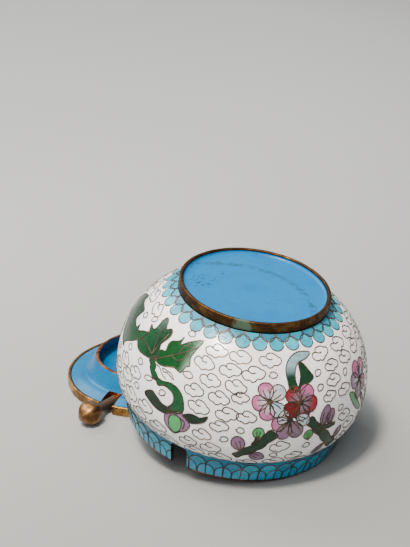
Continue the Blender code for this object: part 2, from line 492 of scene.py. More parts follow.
@dataclass(frozen=True)
class InlaidEnamel:
    """Coloured enamel in a cell, whose colour comes from the mesh."""

    name: str = "inlaid_enamel"
    pit: Colour = screen(34, 30, 30)

    def build(self) -> bpy.types.Material:
        """Make the material.

        Returns:
            The material.
        """
        shader = Shader(self.name)
        tint = shader.attribute("tint")
        darker = shader.make("ShaderNodeVectorMath", {"operation": "SCALE"}, {0: tint, "Scale": 0.62})
        mottled = shader.mix(shader.noise(520, 4, 0.65).between(0.36, 0.70) * 0.75, tint,
                             Signal(shader, darker.outputs[0]))
        specks = shader.cells(760).between(0.20, 0.10) * shader.noise(330, 2).between(0.52, 0.60)
        shader.relief(shader.noise(700, 3) + specks * -0.9, 0.22, 0.0004)
        return shader.finish(Base_Color=shader.mix(specks * 0.7, mottled, self.pit),
                             Roughness=shader.noise(400, 2) * 0.14 + 0.17, IOR=1.5,
                             Specular_IOR_Level=0.4)


@dataclass(frozen=True)
class PlainEnamel:
    """Enamel without wires, with specks and, where it has them, a darker arc of painted shade and a patch of
    chips.
    """

    name: str
    colour: Colour
    shade: Colour
    dark: Colour = screen(14, 44, 62)
    painted_shade_arc_colour: Colour = screen(30, 78, 98)
    specks: float = 0.6
    painted_shade_arc: float = 0.0
    painted_shade_arc_spot: Vector = Vector((0.0, 0.0, 0.0))
    painted_shade_arc_radius: float = 1.0
    chip_spot: Vector = Vector((0.0, 0.0, 0.0))

    def build(self) -> bpy.types.Material:
        """Make the material.

        Returns:
            The material.
        """
        shader = Shader(self.name)
        patches = shader.noise(60, 5, 0.6).between(0.38, 0.70)
        fine = shader.noise(900, 3, 0.7).between(0.45, 0.75)
        ground = shader.mix(patches * 0.55 + fine * 0.25, self.colour, self.shade)
        dots = shader.cells(330).between(0.17, 0.07) * shader.noise(120, 2).between(0.53, 0.62)
        marked = shader.mix(dots * self.specks, ground, self.dark)
        if self.painted_shade_arc:
            chips = shader.far_from(self.chip_spot).between(0.0075, 0.002)
            chips = chips * shader.noise(900, 3, 0.6).between(0.56, 0.62)
            marked = shader.mix(chips * self.specks, marked, self.dark)
            # Painted shade: a darker arc across the base, for the shading of its curve.
            ring = shader.far_from(self.painted_shade_arc_spot) - self.painted_shade_arc_radius
            line = (ring * ring) ** 0.5
            painted_shade_streak = line.between(0.0022, 0.0003) * shader.noise(420, 4, 0.7).between(0.42, 0.62)
            marked = shader.mix(painted_shade_streak * self.painted_shade_arc, marked, self.painted_shade_arc_colour)
        shader.relief(shader.noise(260, 4) + dots * -0.5, 0.18, 0.0006)
        return shader.finish(Base_Color=marked, Roughness=shader.noise(180, 3) * 0.16 + 0.17, IOR=1.45,
                             Specular_IOR_Level=0.25)


@dataclass(frozen=True)
class AgedMetal:
    """Brass or copper with tarnish, rubbed bright in places; its patch is green patina on the foot ring and
    tarnish with painted shade on the knob's stem.
    """

    name: str
    bright: Colour
    tarnish: Colour
    worn_share: float = 0.5
    roughness: float = 0.36
    grain: float = 700.0
    metallic: float = 1.0
    patina_and_shade_spot: Vector | None = None
    patina_and_shade_radius: float = 0.0045
    patina: Colour = screen(66, 100, 78)
    patina_and_shade_share: float = 0.8

    def build(self) -> bpy.types.Material:
        """Make the material.

        Returns:
            The material.
        """
        shader = Shader(self.name)
        wear = shader.noise(240, 5, 0.62).between(self.worn_share + 0.14, self.worn_share - 0.14)
        fine = shader.noise(self.grain, 4, 0.65)
        colour = shader.mix(wear * 0.85 + fine * 0.15, self.tarnish, self.bright)
        rough = (1.0 - wear) * 0.22 + fine * 0.10 + (self.roughness - 0.12)
        metal: object = self.metallic
        if self.patina_and_shade_spot is not None:
            # The patch: green patina on the foot ring; on the knob's stem, dark tarnish with painted shade.
            reach = shader.far_from(self.patina_and_shade_spot) + (shader.noise(520, 4) - 0.5) * 0.006
            patina_and_shade_mask = reach.between(self.patina_and_shade_radius, self.patina_and_shade_radius * 0.45) * self.patina_and_shade_share
            colour = shader.mix(patina_and_shade_mask, colour, self.patina)
            rough = rough + patina_and_shade_mask * 0.3
            metal = self.metallic - patina_and_shade_mask * self.metallic
        shader.relief(fine + wear * 0.6, 0.35, 0.0003)
        return shader.finish(Base_Color=colour, Metallic=metal, Roughness=rough)


@dataclass(frozen=True)
class Backdrop:
    """Pale studio paper, with painted shade: it darkens with distance from a lit spot."""

    name: str = "pale_paper_painted_shade"
    colour: Colour = screen(166, 168, 167)
    lit_spot: Vector = Vector((-0.35, 0.6, 0.0))
    painted_falloff: float = 0.46

    def build(self) -> bpy.types.Material:
        """Make the material.

        Returns:
            The material.
        """
        shader = Shader(self.name)
        # Painted shade: the paper gets darker the farther it is from the lit spot.
        painted_shade_share = shader.far_from(self.lit_spot).between(0.40, 0.95)
        darker = blend_colours(self.colour, (0.0, 0.0, 0.0), self.painted_falloff)
        return shader.finish(Base_Color=shader.mix(painted_shade_share, self.colour, darker), Roughness=0.85,
                             Specular_IOR_Level=0.15)


def finished(name: str, mesh: bmesh.types.BMesh, materials: Sequence[bpy.types.Material],
             nodes: Sequence[str] = (), sharp: float = SHARP_ANGLE) -> bpy.types.Object:
    """Turn a bmesh in metres into a piece of the object.

    Args:
        name: The piece's name.
        mesh: Its shape, which is used up.
        materials: Its finishes in the order of its face indices.
        nodes: The CAD nodes that it stands for.
        sharp: Angle in degrees over which an edge stays sharp.

    Returns:
        The object, riding on the part's body.
    """
    data = bpy.data.meshes.new(name)
    mesh.to_mesh(data)
    mesh.free()
    for material in materials:
        data.materials.append(material)
    data.shade_smooth()
    data.set_sharp_from_angle(angle=math.radians(sharp))
    piece = bpy.data.objects.new(name, data)
    bpy.context.scene.collection.objects.link(piece)
    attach(piece, BODY)
    if nodes:
        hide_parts(*nodes)
    return piece


def lathe(outline: Sequence[Flat], segments: int, closed: bool) -> bmesh.types.BMesh:
    """Turn (radius, z) points about Z.

    Args:
        outline: The section.
        segments: Steps round the axis.
        closed: Whether the section closes on itself.

    Returns:
        The turned mesh, in millimetres.
    """
    mesh = bmesh.new()
    points = [mesh.verts.new((radius, 0.0, height)) for radius, height in outline]
    edges = [mesh.edges.new(pair) for pair in zip(points, points[1:])]
    if closed:
        edges.append(mesh.edges.new((points[-1], points[0])))
    bmesh.ops.spin(mesh, geom=points + edges, cent=(0, 0, 0), axis=(0, 0, 1), angle=math.tau,
                   steps=segments, use_merge=True)
    bmesh.ops.remove_doubles(mesh, verts=mesh.verts, dist=WELD)
    bmesh.ops.recalc_face_normals(mesh, faces=mesh.faces)
    return mesh


def rounded_ring(outer: float, thickness: float, low: float, high: float, edge: float,
                 steps: int = 4) -> list[Flat]:
    """List the section of an upright band with round corners.

    Args:
        outer, thickness: Its outer radius and its thickness.
        low, high: Its two ends.
        edge: Radius of its corners.
        steps: Steps in each corner.

    Returns:
        The closed section.
    """
    inner = outer - thickness
    corners = [(outer - edge, low + edge, -90), (outer - edge, high - edge, 0),
               (inner + edge, high - edge, 90), (inner + edge, low + edge, 180)]
    section = []
    for radius, height, start in corners:
        for step in range(steps + 1):
            turn = math.radians(start + 90 * step / steps)
            section.append((radius + edge * math.cos(turn), height + edge * math.sin(turn)))
    return section


def cut_notch(piece: bpy.types.Object, cutter: bmesh.types.BMesh, slot_index: int) -> None:
    """Subtract a cutter from a piece and keep the result as its mesh.

    Args:
        piece: The piece.
        cutter: The cutter, in metres, which is used up.
        slot_index: Finish of the cut faces.
    """
    data = bpy.data.meshes.new("cutter")
    for face in cutter.faces:
        face.material_index = slot_index
    cutter.to_mesh(data)
    cutter.free()
    for material in piece.data.materials:
        data.materials.append(material)
    tool = bpy.data.objects.new("cutter", data)
    bpy.context.scene.collection.objects.link(tool)
    modifier = piece.modifiers.new("notch", "BOOLEAN")
    modifier.operation = "DIFFERENCE"
    modifier.solver = "EXACT"
    modifier.object = tool
    bpy.context.view_layer.update()
    shown = piece.evaluated_get(bpy.context.evaluated_depsgraph_get())
    result = bpy.data.meshes.new_from_object(shown)
    piece.modifiers.clear()
    piece.data = result
    result.set_sharp_from_angle(angle=math.radians(SHARP_ANGLE))
    bpy.data.objects.remove(tool, do_unlink=True)


def box_cutter(low: Vector, high: Vector, corner: float, place: Matrix) -> bmesh.types.BMesh:
    """Make a box with its upper lengthwise edges rounded.

    Args:
        low, high: Its corners, in millimetres.
        corner: Radius of the rounded edges.
        place: Matrix from its own frame to the scene, in metres.

    Returns:
        The cutter.
    """
    mesh = bmesh.new()
    bmesh.ops.create_cube(mesh, size=1.0)
    for point in mesh.verts:
        point.co = Vector(high[axis] if point.co[axis] > 0 else low[axis] for axis in range(3))
    top = [edge for edge in mesh.edges if all(point.co.z == high[2] for point in edge.verts)
           and abs(edge.verts[0].co.y - edge.verts[1].co.y) < 0.001]
    if corner:
        bmesh.ops.bevel(mesh, geom=top, offset=corner, affect="EDGES", segments=5, profile=0.5, material=-1)
    bmesh.ops.transform(mesh, matrix=place, verts=mesh.verts)
    return mesh


class PotWall:
    """The pot's place and its outer wall, on which the decoration is drawn."""

    def __init__(self) -> None:
        """Find the pot's axis from the foot ring of the frame, and measure the wall's outline."""
        ring = np.array([point.co[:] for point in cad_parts["foot_ring"].data.vertices])
        middle = ring.mean(axis=0)
        spread = np.linalg.eigh(np.cov((ring - middle).T))
        axis = Vector(spread[1][:, 0])
        axis = axis if axis.z > 0 else -axis
        mouth = Vector(middle) - axis * (POT.height - POT.foot_height / 2) * MM
        turn = Vector((0, 0, 1)).rotation_difference(axis).to_matrix().to_4x4()
        self.place = Matrix.Translation(mouth) @ turn @ Matrix.Scale(MM, 4)
        self.outline = self._outline()
        self.arcs = [POT.gap]
        for one, two in zip(self.outline, self.outline[1:]):
            self.arcs.append(self.arcs[-1] + math.dist(one, two))
        self.rim_arc = self.arc_at(POT.height - POT.rim_metal)

    @staticmethod
    def _outline() -> list[Flat]:
        """List the outer wall's points from the foot to the mouth.

        Returns:
            (radius, height) points.
        """
        def curve(far_radius: float, far_drop: float, power: float, count: int) -> list[Flat]:
            """List the points of half the belly, from its widest ring.

            Args:
                far_radius, far_drop: Radius at its far end, and that end's distance from the widest ring.
                power: Squareness of the curve.
                count: Number of points.

            Returns:
                (radius, distance from the widest ring) points.
            """
            reach = far_drop / (1 - (far_radius / POT.belly_radius) ** power) ** (1 / power)
            last = math.asin(min(1.0, (far_drop / reach) ** (power / 2)))
            turns = [last * step / (count - 1) for step in range(count)]
            return [(POT.belly_radius * math.cos(turn) ** (2 / power), reach * math.sin(turn) ** (2 / power))
                    for turn in turns]

        start = POT.foot_height + POT.gap
        lower = curve(POT.foot_radius, POT.belly_height - start, POT.lower_power, POT.lower_points)
        rise = POT.shoulder_height - POT.belly_height
        upper = curve(POT.shoulder_radius, rise, POT.upper_power, POT.upper_points)
        points = [(radius, POT.belly_height - drop) for radius, drop in reversed(lower)]
        points += [(radius, POT.belly_height + drop) for radius, drop in upper[1:]]
        collar_end = (POT.mouth_radius, POT.height - POT.mouth_edge)
        steps = POT.collar_points
        last = points[-1]
        metal = 1 - (POT.rim_metal - POT.mouth_edge) / (collar_end[1] - last[1])
        shares = [metal * step / steps for step in range(1, steps + 1)] + [1.0]
        points += [tuple(last[i] + (collar_end[i] - last[i]) * share for i in (0, 1)) for share in shares]
        return points

    def arc_at(self, height: float) -> float:
        """Find the arc length from the foot at a height."""
        heights = [point[1] for point in self.outline]
        return float(np.interp(height, heights, self.arcs))

    def radius_at(self, height: float) -> float:
        """Find the outer radius at a height."""
        return float(np.interp(height, [p[1] for p in self.outline], [p[0] for p in self.outline]))

    def section(self, arc: float) -> tuple[Flat, Flat]:
        """Find the wall at an arc length.

        Args:
            arc: Arc length from the foot.

        Returns:
            The (radius, height) there and the outward normal.
        """
        arc = max(self.arcs[0], min(self.arcs[-1] - 0.001, arc))
        index = min(len(self.arcs) - 2, bisect.bisect_right(self.arcs, arc) - 1)
        one, two = self.outline[index], self.outline[index + 1]
        span = self.arcs[index + 1] - self.arcs[index]
        share = (arc - self.arcs[index]) / span
        run = ((two[0] - one[0]) / span, (two[1] - one[1]) / span)
        return (one[0] + (two[0] - one[0]) * share, one[1] + (two[1] - one[1]) * share), (run[1], -run[0])

    def spot(self, bearing: float, arc: float, lift: float) -> tuple[Vector, Vector]:
        """Find a point over the wall.

        Args:
            bearing: Bearing in radians.
            arc: Arc length from the foot.
            lift: Height over the wall.

        Returns:
            The point in metres in the scene, and the outward normal.
        """
        (radius, height), (out, up) = self.section(arc)
        around = Vector((math.cos(bearing), math.sin(bearing), 0))
        normal = around * out - Vector((0, 0, up))
        point = around * radius + Vector((0, 0, POT.height - height)) + normal * lift
        return self.place @ point, (self.place.to_3x3() @ normal).normalized()


@dataclass(frozen=True)
class Anchor:
    """Where a drawing sits on the wall."""

    bearing: float
    arc: float

    def locate(self, wall: PotWall, point: Flat) -> Flat:
        """Turn a flat point into a bearing and an arc length.

        Args:
            wall: The wall.
            point: (across, up) in millimetres from the anchor.

        Returns:
            (bearing in radians, arc length).
        """
        arc = self.arc - point[1]
        radius = wall.section(arc)[0][0]
        return math.radians(self.bearing) + point[0] / radius, arc


class Inlay:
    """Enamel cells and wires gathered on the pot's wall."""

    def __init__(self, wall: PotWall) -> None:
        """Start with nothing on the wall.

        Args:
            wall: The pot's wall.
        """
        self.wall = wall
        self.enamel = bmesh.new()
        self.enamel.verts.layers.float_color.new("tint")
        self.wires = bmesh.new()

    def cell(self, anchor: Anchor, outline: Sequence[Flat], tint: Callable[[Flat], Colour] | Tint,
             over: int = 0) -> None:
        """Fill an outline with enamel.

        Args:
            anchor: Where the outline sits.
            outline: Its closed outline.
            tint: One colour, or a rule that gives the colour at a flat point.
            over: How many cells it lies on.
        """
        patch = bmesh.new()
        layer = patch.verts.layers.float_color.new("tint")
        ring = [patch.verts.new((*point, 0.0)) for point in outline]
        edges = [patch.edges.new(pair) for pair in zip(ring, ring[1:] + ring[:1])]
        bmesh.ops.triangle_fill(patch, use_beauty=True, use_dissolve=False, edges=edges)
        for _ in range(CELL_SPLITS):
            long_edges = [edge for edge in patch.edges if edge.calc_length() > WIRE.cell_edge]
            if not long_edges:
                break
            bmesh.ops.subdivide_edges(patch, edges=long_edges, cuts=1)
            bmesh.ops.triangulate(patch, faces=patch.faces)
        for face in patch.faces:
            face.normal_update()
            if face.normal.z < 0:
                face.normal_flip()
        lift = WIRE.cell_lift + over * (WIRE.over_lift - WIRE.cell_lift)
        for point in patch.verts:
            flat = (point.co.x, point.co.y)
            colour = tint.value if isinstance(tint, Tint) else tint(flat)
            point[layer] = (*colour, 1.0)
            point.co = self.wall.spot(*anchor.locate(self.wall, flat), lift)[0]
        self._join(self.enamel, patch)

    def wire(self, anchor: Anchor, line: Sequence[Flat], closed: bool = False,
             width: float = WIRE.width) -> None:
        """Lay a wire along a line.

        Args:
            anchor: Where the line sits.
            line: Points along it.
            closed: Whether it returns to its start.
            width: Its width.
        """
        route = list(line) + [line[0]] if closed else list(line)
        spots = [self.wall.spot(*anchor.locate(self.wall, point), WIRE.wire_lift) for point in route]
        count = len(spots)
        patch = bmesh.new()
        bmesh.ops.create_grid(patch, x_segments=count - 1, y_segments=2, size=1.0)
        for point in patch.verts:
            index = round((point.co.x + 1) / 2 * (count - 1))
            side = round(point.co.y)
            before, after = max(index - 1, 0), min(index + 1, count - 1)
            if closed and index in (0, count - 1):
                before, after = count - 2, 1
            centre, normal = spots[index]
            along = (spots[after][0] - spots[before][0]).normalized()
            across = normal.cross(along).normalized()
            lift = WIRE.crown if side == 0 else 0.0
            point.co = centre + across * (side * width / 2 * MM) + normal * (lift * MM)
        if closed:
            bmesh.ops.remove_doubles(patch, verts=patch.verts, dist=WIRE_WELD * MM)
        self._join(self.wires, patch)

    @staticmethod
    def _join(target: bmesh.types.BMesh, patch: bmesh.types.BMesh) -> None:
        """Add a patch to a mesh.

        Args:
            target: The mesh that grows.
            patch: The patch, which is used up.
        """
        data = bpy.data.meshes.new("patch")
        patch.to_mesh(data)
        patch.free()
        target.from_mesh(data)
        bpy.data.meshes.remove(data)

    def framed(self, anchor: Anchor, outline: Sequence[Flat], tint: Callable[[Flat], Colour] | Tint,
               over: int = 0, width: float = WIRE.width) -> None:
        """Fill an outline with enamel as cell does, and lay a wire of this width round it."""
        self.cell(anchor, outline, tint, over)
        self.wire(anchor, outline, True, width)

    def pieces(self, name: str, enamel: bpy.types.Material, metal: bpy.types.Material) -> None:
        """Make the objects.

        Args:
            name: Start of their names.
            enamel, metal: Finishes of the cells and the wires.
        """
        if self.enamel.faces:
            finished(f"{name}_enamel", self.enamel, [enamel])
        else:
            self.enamel.free()
        finished(f"{name}_wires", self.wires, [metal], sharp=80)


@dataclass
class PotBody:
    """The pot's shell, with collar, ledge, notch and base."""

    wall: PotWall
    sizes: PotSizes = field(default=POT)

    def _section(self) -> list[Flat]:
        """List the closed section, as the CAD solid has it but finer.

        Returns:
            (radius, height) points.
        """
        size = self.sizes
        boss = size.foot_radius - size.foot_thickness - size.gap
        outer = self.wall.outline
        ledge_bottom = size.shoulder_height - size.ledge_thickness
        inner = []
        for one, two in zip(outer, outer[1:]):
            length = math.dist(one, two)
            along = ((two[0] - one[0]) / length, (two[1] - one[1]) / length)
            inner.append((one[0] - along[1] * size.wall, one[1] + along[0] * size.wall))
        inner = [point for point in inner if size.base_recess + size.wall < point[1] < ledge_bottom - 1.0]
        edge = size.mouth_edge
        bevel = edge * size.edge_softness
        mouth_inner = size.mouth_radius - size.wall
        mouth = [(size.mouth_radius - bevel, size.height - bevel), (size.mouth_radius - edge, size.height),
                 (mouth_inner + edge, size.height), (mouth_inner + bevel, size.height - bevel),
                 (mouth_inner, size.height - edge)]
        ledge = [(size.shoulder_radius - size.wall, size.shoulder_height),
                 (size.ledge_radius, size.shoulder_height), (size.ledge_radius, ledge_bottom),
                 (inner[-1][0] - size.wall, ledge_bottom)]
        floor = size.base_recess + size.wall
        rings = size.base_rings
        flat_end = boss - size.base_meniscus
        base = [(flat_end * step / rings, size.base_recess - size.base_crown / 2 * (1 - (step / rings) ** 2))
                for step in range(rings + 1)]
        base += [(flat_end + size.base_meniscus * math.sin(turn),
                  size.base_recess - size.meniscus_rise * (1 - math.cos(turn)))
                 for turn in size.meniscus_turns]
        start = size.foot_height + size.gap
        return (base + [(boss, start)] + outer + mouth + ledge + inner[::-1]
                + [(boss - size.base_fillet, floor), (0.0, floor)])

    def _slot_of(self, radius: float, height: float) -> Slot:
        """Choose the finish of a face from where its middle is.

        Args:
            radius, height: The face's middle.

        Returns:
            The finish.
        """
        size = self.sizes
        mouth_inner = size.mouth_radius - size.wall
        if height > size.height - size.rim_metal and radius > mouth_inner - 2 * size.margin:
            return Slot.COPPER
        if height <= size.base_recess + size.margin and radius < size.foot_radius:
            return Slot.BASE
        if radius < size.foot_radius and size.base_recess < height < size.foot_height + size.gap:
            return Slot.COPPER if radius > size.foot_radius - size.foot_thickness - 1 else Slot.INSIDE
        if radius > self.wall.radius_at(height) - size.skin:
            belt = height > size.shoulder_height or height < size.foot_height + size.foot_belt
            return Slot.COLLAR if belt else Slot.BELLY
        # Inner faces get the near-black inside finish, which is painted shade.
        return Slot.INSIDE

    def build(self, finishes: Sequence[bpy.types.Material]) -> None:
        """Make the piece.

        Args:
            finishes: One material for each Slot, in order.
        """
        size = self.sizes
        mesh = lathe([(radius, size.height - height) for radius, height in self._section()],
                     size.segments, False)
        for face in mesh.faces:
            middle = face.calc_center_median()
            face.material_index = self._slot_of(math.hypot(middle.x, middle.y),
                                                size.height - middle.z).value
        bmesh.ops.transform(mesh, matrix=self.wall.place, verts=mesh.verts)
        body = finished("pot", mesh, finishes, ["pot_body"])
        half, room = size.notch_width / 2, size.notch_room
        low = Vector((size.mouth_radius - size.wall - room, -half, -room))
        high = Vector((size.shoulder_radius + room, half, size.height - size.shoulder_height - size.gap))
        place = self.wall.place @ Matrix.Rotation(size.notch_bearing, 4, "Z")
        cut_notch(body, box_cutter(low, high, size.notch_corner, place), Slot.COPPER.value)


@dataclass
class FootRing:
    """The brass ring that the pot stands on when it is upright."""

    wall: PotWall
    sizes: PotSizes = field(default=POT)
    dent: float = 0.06
    beats: Sequence[int] = (5, 11, 23)

    def build(self, metal: bpy.types.Material) -> None:
        """Make the piece, with faint dents round it.

        Args:
            metal: Its finish.
        """
        size = self.sizes
        section = rounded_ring(size.foot_radius, size.foot_thickness, size.height - size.foot_height,
                               size.height, size.foot_edge)
        mesh = lathe(section, size.segments, True)
        source = random.Random(SEED)
        phases = [source.uniform(0, math.tau) for _ in self.beats]
        for point in mesh.verts:
            turn = math.atan2(point.co.y, point.co.x)
            wave = sum(math.sin(turn * beat + phase) for beat, phase in zip(self.beats, phases))
            around = Vector((math.cos(turn), math.sin(turn), 0))
            point.co -= around * self.dent * (1 + wave / len(phases))
        bmesh.ops.transform(mesh, matrix=self.wall.place, verts=mesh.verts)
        finished("foot_brass_ring", mesh, [metal], ["foot_ring"])


@dataclass(frozen=True)
class ScaleRow:
    """One row of scales round the pot, from its base to its tips, with a shift in scales.

    Attributes:
        tip_arc, base_arc: Arc lengths of the tips and the bases.
        over: How many cells it lies on.
        coin: Whether its scales are whole discs.
    """

    tip_arc: float
    base_arc: float
    width: float
    shift: float
    tints: tuple[Tint, Tint]
    over: int
    coin: bool = False


@dataclass
class ScaleBorder:
    """Rows of round scales; the tips point away from the metal edge that the rows start from."""

    wall: PotWall
    name: str
    count: int
    rows: Sequence[ScaleRow]
    notched: bool = False
    sway: float = 0.25

    def _scale(self, row: ScaleRow, points: int = 6) -> list[Flat]:
        """Outline one scale around its middle line, with its base at up = 0.

        Args:
            row: The row that it belongs to.
            points: Steps in half of its round tip.

        Returns:
            The outline, anticlockwise seen from outside.
        """
        half = row.width / 2
        length = abs(row.tip_arc - row.base_arc)
        if row.coin:
            turns = [math.tau * step / (4 * points) for step in range(4 * points)]
            return [(half * math.cos(turn), -length / 2 * (1 + math.sin(-turn))) for turn in turns]
        straight = max(0.0, length - half)
        turns = [math.pi * step / (2 * points) for step in range(2 * points + 1)]
        cap = [(half * math.cos(turn), straight + (length - straight) * math.sin(turn)) for turn in turns]
        steps = max(1, round(straight / WIRE.cell_edge))
        side = [(half, straight * step / steps) for step in range(steps)]
        outline = side + cap + [(-across, up) for across, up in side[::-1]]
        if row.tip_arc > row.base_arc:
            outline = [(across, -up) for across, up in outline][::-1]
        return outline

    def _trim(self, mesh: bmesh.types.BMesh) -> None:
        """Take away what would hang over the collar's notch.

        Args:
            mesh: Cells or wires, in metres in the scene.
        """
        place = self.wall.place @ Matrix.Rotation(POT.notch_bearing, 4, "Z")
        back = place.inverted()
        half = POT.notch_width / 2

        def within(point: Vector, reach: float) -> bool:
            """Say whether a point lies over the notch, give or take a reach."""
            spot = back @ point
            return spot.x > 0 and abs(spot.y) < half + reach

        for side in (-1, 1):
            faces = [face for face in mesh.faces if within(face.calc_center_median(), POT.notch_room)]
            geometry = set(faces)
            for face in faces:
                geometry.update(face.edges)
                geometry.update(face.verts)
            spot = place @ Vector((0, side * half, 0))
            normal = (place.to_3x3() @ Vector((0, 1, 0))).normalized()
            bmesh.ops.bisect_plane(mesh, geom=list(geometry), dist=0.0000001, plane_co=spot, plane_no=normal)
        inside = [face for face in mesh.faces if within(face.calc_center_median(), 0.0)]
        bmesh.ops.delete(mesh, geom=inside, context="FACES")

    def build(self, enamel: bpy.types.Material, metal: bpy.types.Material) -> None:
        """Make the border's cells and wires.

        Args:
            enamel, metal: Their finishes.
        """
        inlay = Inlay(self.wall)
        source = random.Random(SEED + self.count)
        step = math.tau / self.count
        for row in self.rows:
            outline = self._scale(row)
            for index in range(self.count):
                bearing = math.degrees((index + row.shift) * step)
                anchor = Anchor(bearing + source.uniform(-self.sway, self.sway), row.base_arc)
                colour = blend_colours(row.tints[0].value, row.tints[1].value, source.random())
                inlay.cell(anchor, outline, lambda flat, colour=colour: colour, row.over)
                inlay.wire(anchor, outline)
        if self.notched:
            self._trim(inlay.enamel)
            self._trim(inlay.wires)
        inlay.pieces(self.name, enamel, metal)


@dataclass(frozen=True)
class Blossom:
    """A flower: its middle, and each petal's tip with its colours near the middle and at the tip."""

    centre: Flat
    petals: Sequence[tuple[Flat, Tint, Tint]]
    width: float = 5.6
    eye: float = 1.0


@dataclass
class Spray:
    """Leaves, blossoms, buds and twigs drawn in one place on the wall.

    Attributes:
        petal_shape, bud_shape: Where each is widest, as a share of its length, and the points along a side.
        petal_swing, bud_swing: How far the inner wires swing out, as a share of the length.
        vein_shares: Where an inner wire has its points.
        eye_steps: Corners of a flower's round middle.
        knots: How much a twig's width varies.
    """

    wall: PotWall
    anchor: Anchor
    name: str
    inlay: Inlay = field(init=False)
    petal_shape: tuple[float, int] = (0.66, 6)
    bud_shape: tuple[float, int] = (0.52, 7)
    petal_swing: float = 0.16
    bud_swing: float = 0.12
    vein_shares: Sequence[float] = (0.08, 0.25, 0.45, 0.66)
    eye_steps: int = 10
    knots: float = 0.16

    def __post_init__(self) -> None:
        """Start with nothing drawn."""
        self.inlay = Inlay(self.wall)

    def leaf(self, points: Sequence[Flat], tint: Tint, end: Tint | None = None,
             start: float = 0.0, finish: float = 1.0, over: int = 0, axis: int = 0) -> None:
        """Draw a leaf from a list of outline points.

        Args:
            points: Its outline, smoothed on the way.
            tint: Its colour.
            end: Colour that it changes to, if it changes.
            start, finish: Where the change starts and ends.
            over: How many cells it lies on.
            axis: 0 for a change from left to right, 1 for one from the mouth to the foot.
        """
        outline = smooth_line(points, 3, True)

        def colour(flat: Flat) -> Colour:
            """Give the leaf's colour.

            Args:
                flat: The point.

            Returns:
                The colour there.
            """
            if end is None:
                return tint.value
            share = max(0.0, min(1.0, (flat[axis] - start) / (finish - start)))
            return blend_colours(tint.value, end.value, share)

        self.inlay.framed(self.anchor, outline, colour, over)

    def blossom(self, flower: Blossom) -> None:
        """Draw a flower.

        Args:
            flower: Its centre and petals.
        """
        for order, (tip, inner, outer) in enumerate(flower.petals):
            outline = petal_outline(flower.centre, tip, flower.width, *self.petal_shape)
            length = math.dist(flower.centre, tip)

            def colour(flat: Flat, inner: Tint = inner, outer: Tint = outer,
                       length: float = length) -> Colour:
                """Give the petal's colour at a point."""
                share = (math.dist(flower.centre, flat) / length - 0.35) / 0.45
                return blend_colours(inner.value, outer.value, max(0.0, min(1.0, share)))

            self.inlay.framed(self.anchor, outline, colour, order % 2)
            for side in (-self.petal_swing, self.petal_swing):
                self.inlay.wire(self.anchor, self._vein(flower.centre, tip, side), False, WIRE.fine_width)
        self._eye(flower.centre, flower.eye)

    def _vein(self, centre: Flat, tip: Flat, side: float) -> list[Flat]:
        """List the points of a petal's inner wire.

        Args:
            centre, tip: The petal's ends.
            side: How far it swings out, as a share of the length.

        Returns:
            The wire's line.
        """
        along = Vector(tip) - Vector(centre)
        across = Vector((-along.y, along.x))
        return [tuple(Vector(centre) + along * share + across * side * math.sin(share * 2.6))
                for share in self.vein_shares]

    def _eye(self, centre: Flat, radius: float) -> None:
        """Draw the small round middle of a flower.

        Args:
            centre: Its middle.
            radius: Its radius.
        """
        turns = [math.tau * step / self.eye_steps for step in range(self.eye_steps)]
        ring = [(centre[0] + radius * math.cos(turn), centre[1] + radius * math.sin(turn)) for turn in turns]
        self.inlay.framed(self.anchor, ring, Tint.DARK_GREEN, 2, WIRE.fine_width)

    def bud(self, base: Flat, tip: Flat, width: float, inner: Tint, outer: Tint) -> None:
        """Draw a closed bud with two wires inside it.

        Args:
            base, tip: Its ends.
            width: Its width.
            inner, outer: Its colours at the base and at the tip.
        """
        outline = petal_outline(base, tip, width, *self.bud_shape)
        length = math.dist(base, tip)
        self.inlay.framed(self.anchor, outline, lambda flat: blend_colours(
            inner.value, outer.value, min(1.0, math.dist(base, flat) / length)), 1)
        for side in (-self.bud_swing, self.bud_swing):
            self.inlay.wire(self.anchor, self._vein(base, tip, side), False, WIRE.fine_width)

    def twig(self, points: Sequence[Flat], start: float, end: float, tint: Tint = Tint.DARK_GREEN) -> None:
        """Draw a twig that tapers.

        Args:
            points: Its middle line.
            start, end: Its widths.
            tint: Its colour.
        """
        line = smooth_line(points, 3, False)
        widths = [start + (end - start) * index / (len(line) - 1) for index in range(len(line))]
        widths = [width * (1 + self.knots * math.sin(index * 1.9)) for index, width in enumerate(widths)]
        self.inlay.framed(self.anchor, ribbon_outline(line, widths), tint)

    def line(self, points: Sequence[Flat], closed: bool = False) -> None:
        """Draw a bare wire through points, smoothed on the way."""
        self.inlay.wire(self.anchor, smooth_line(points, 3, closed), closed)


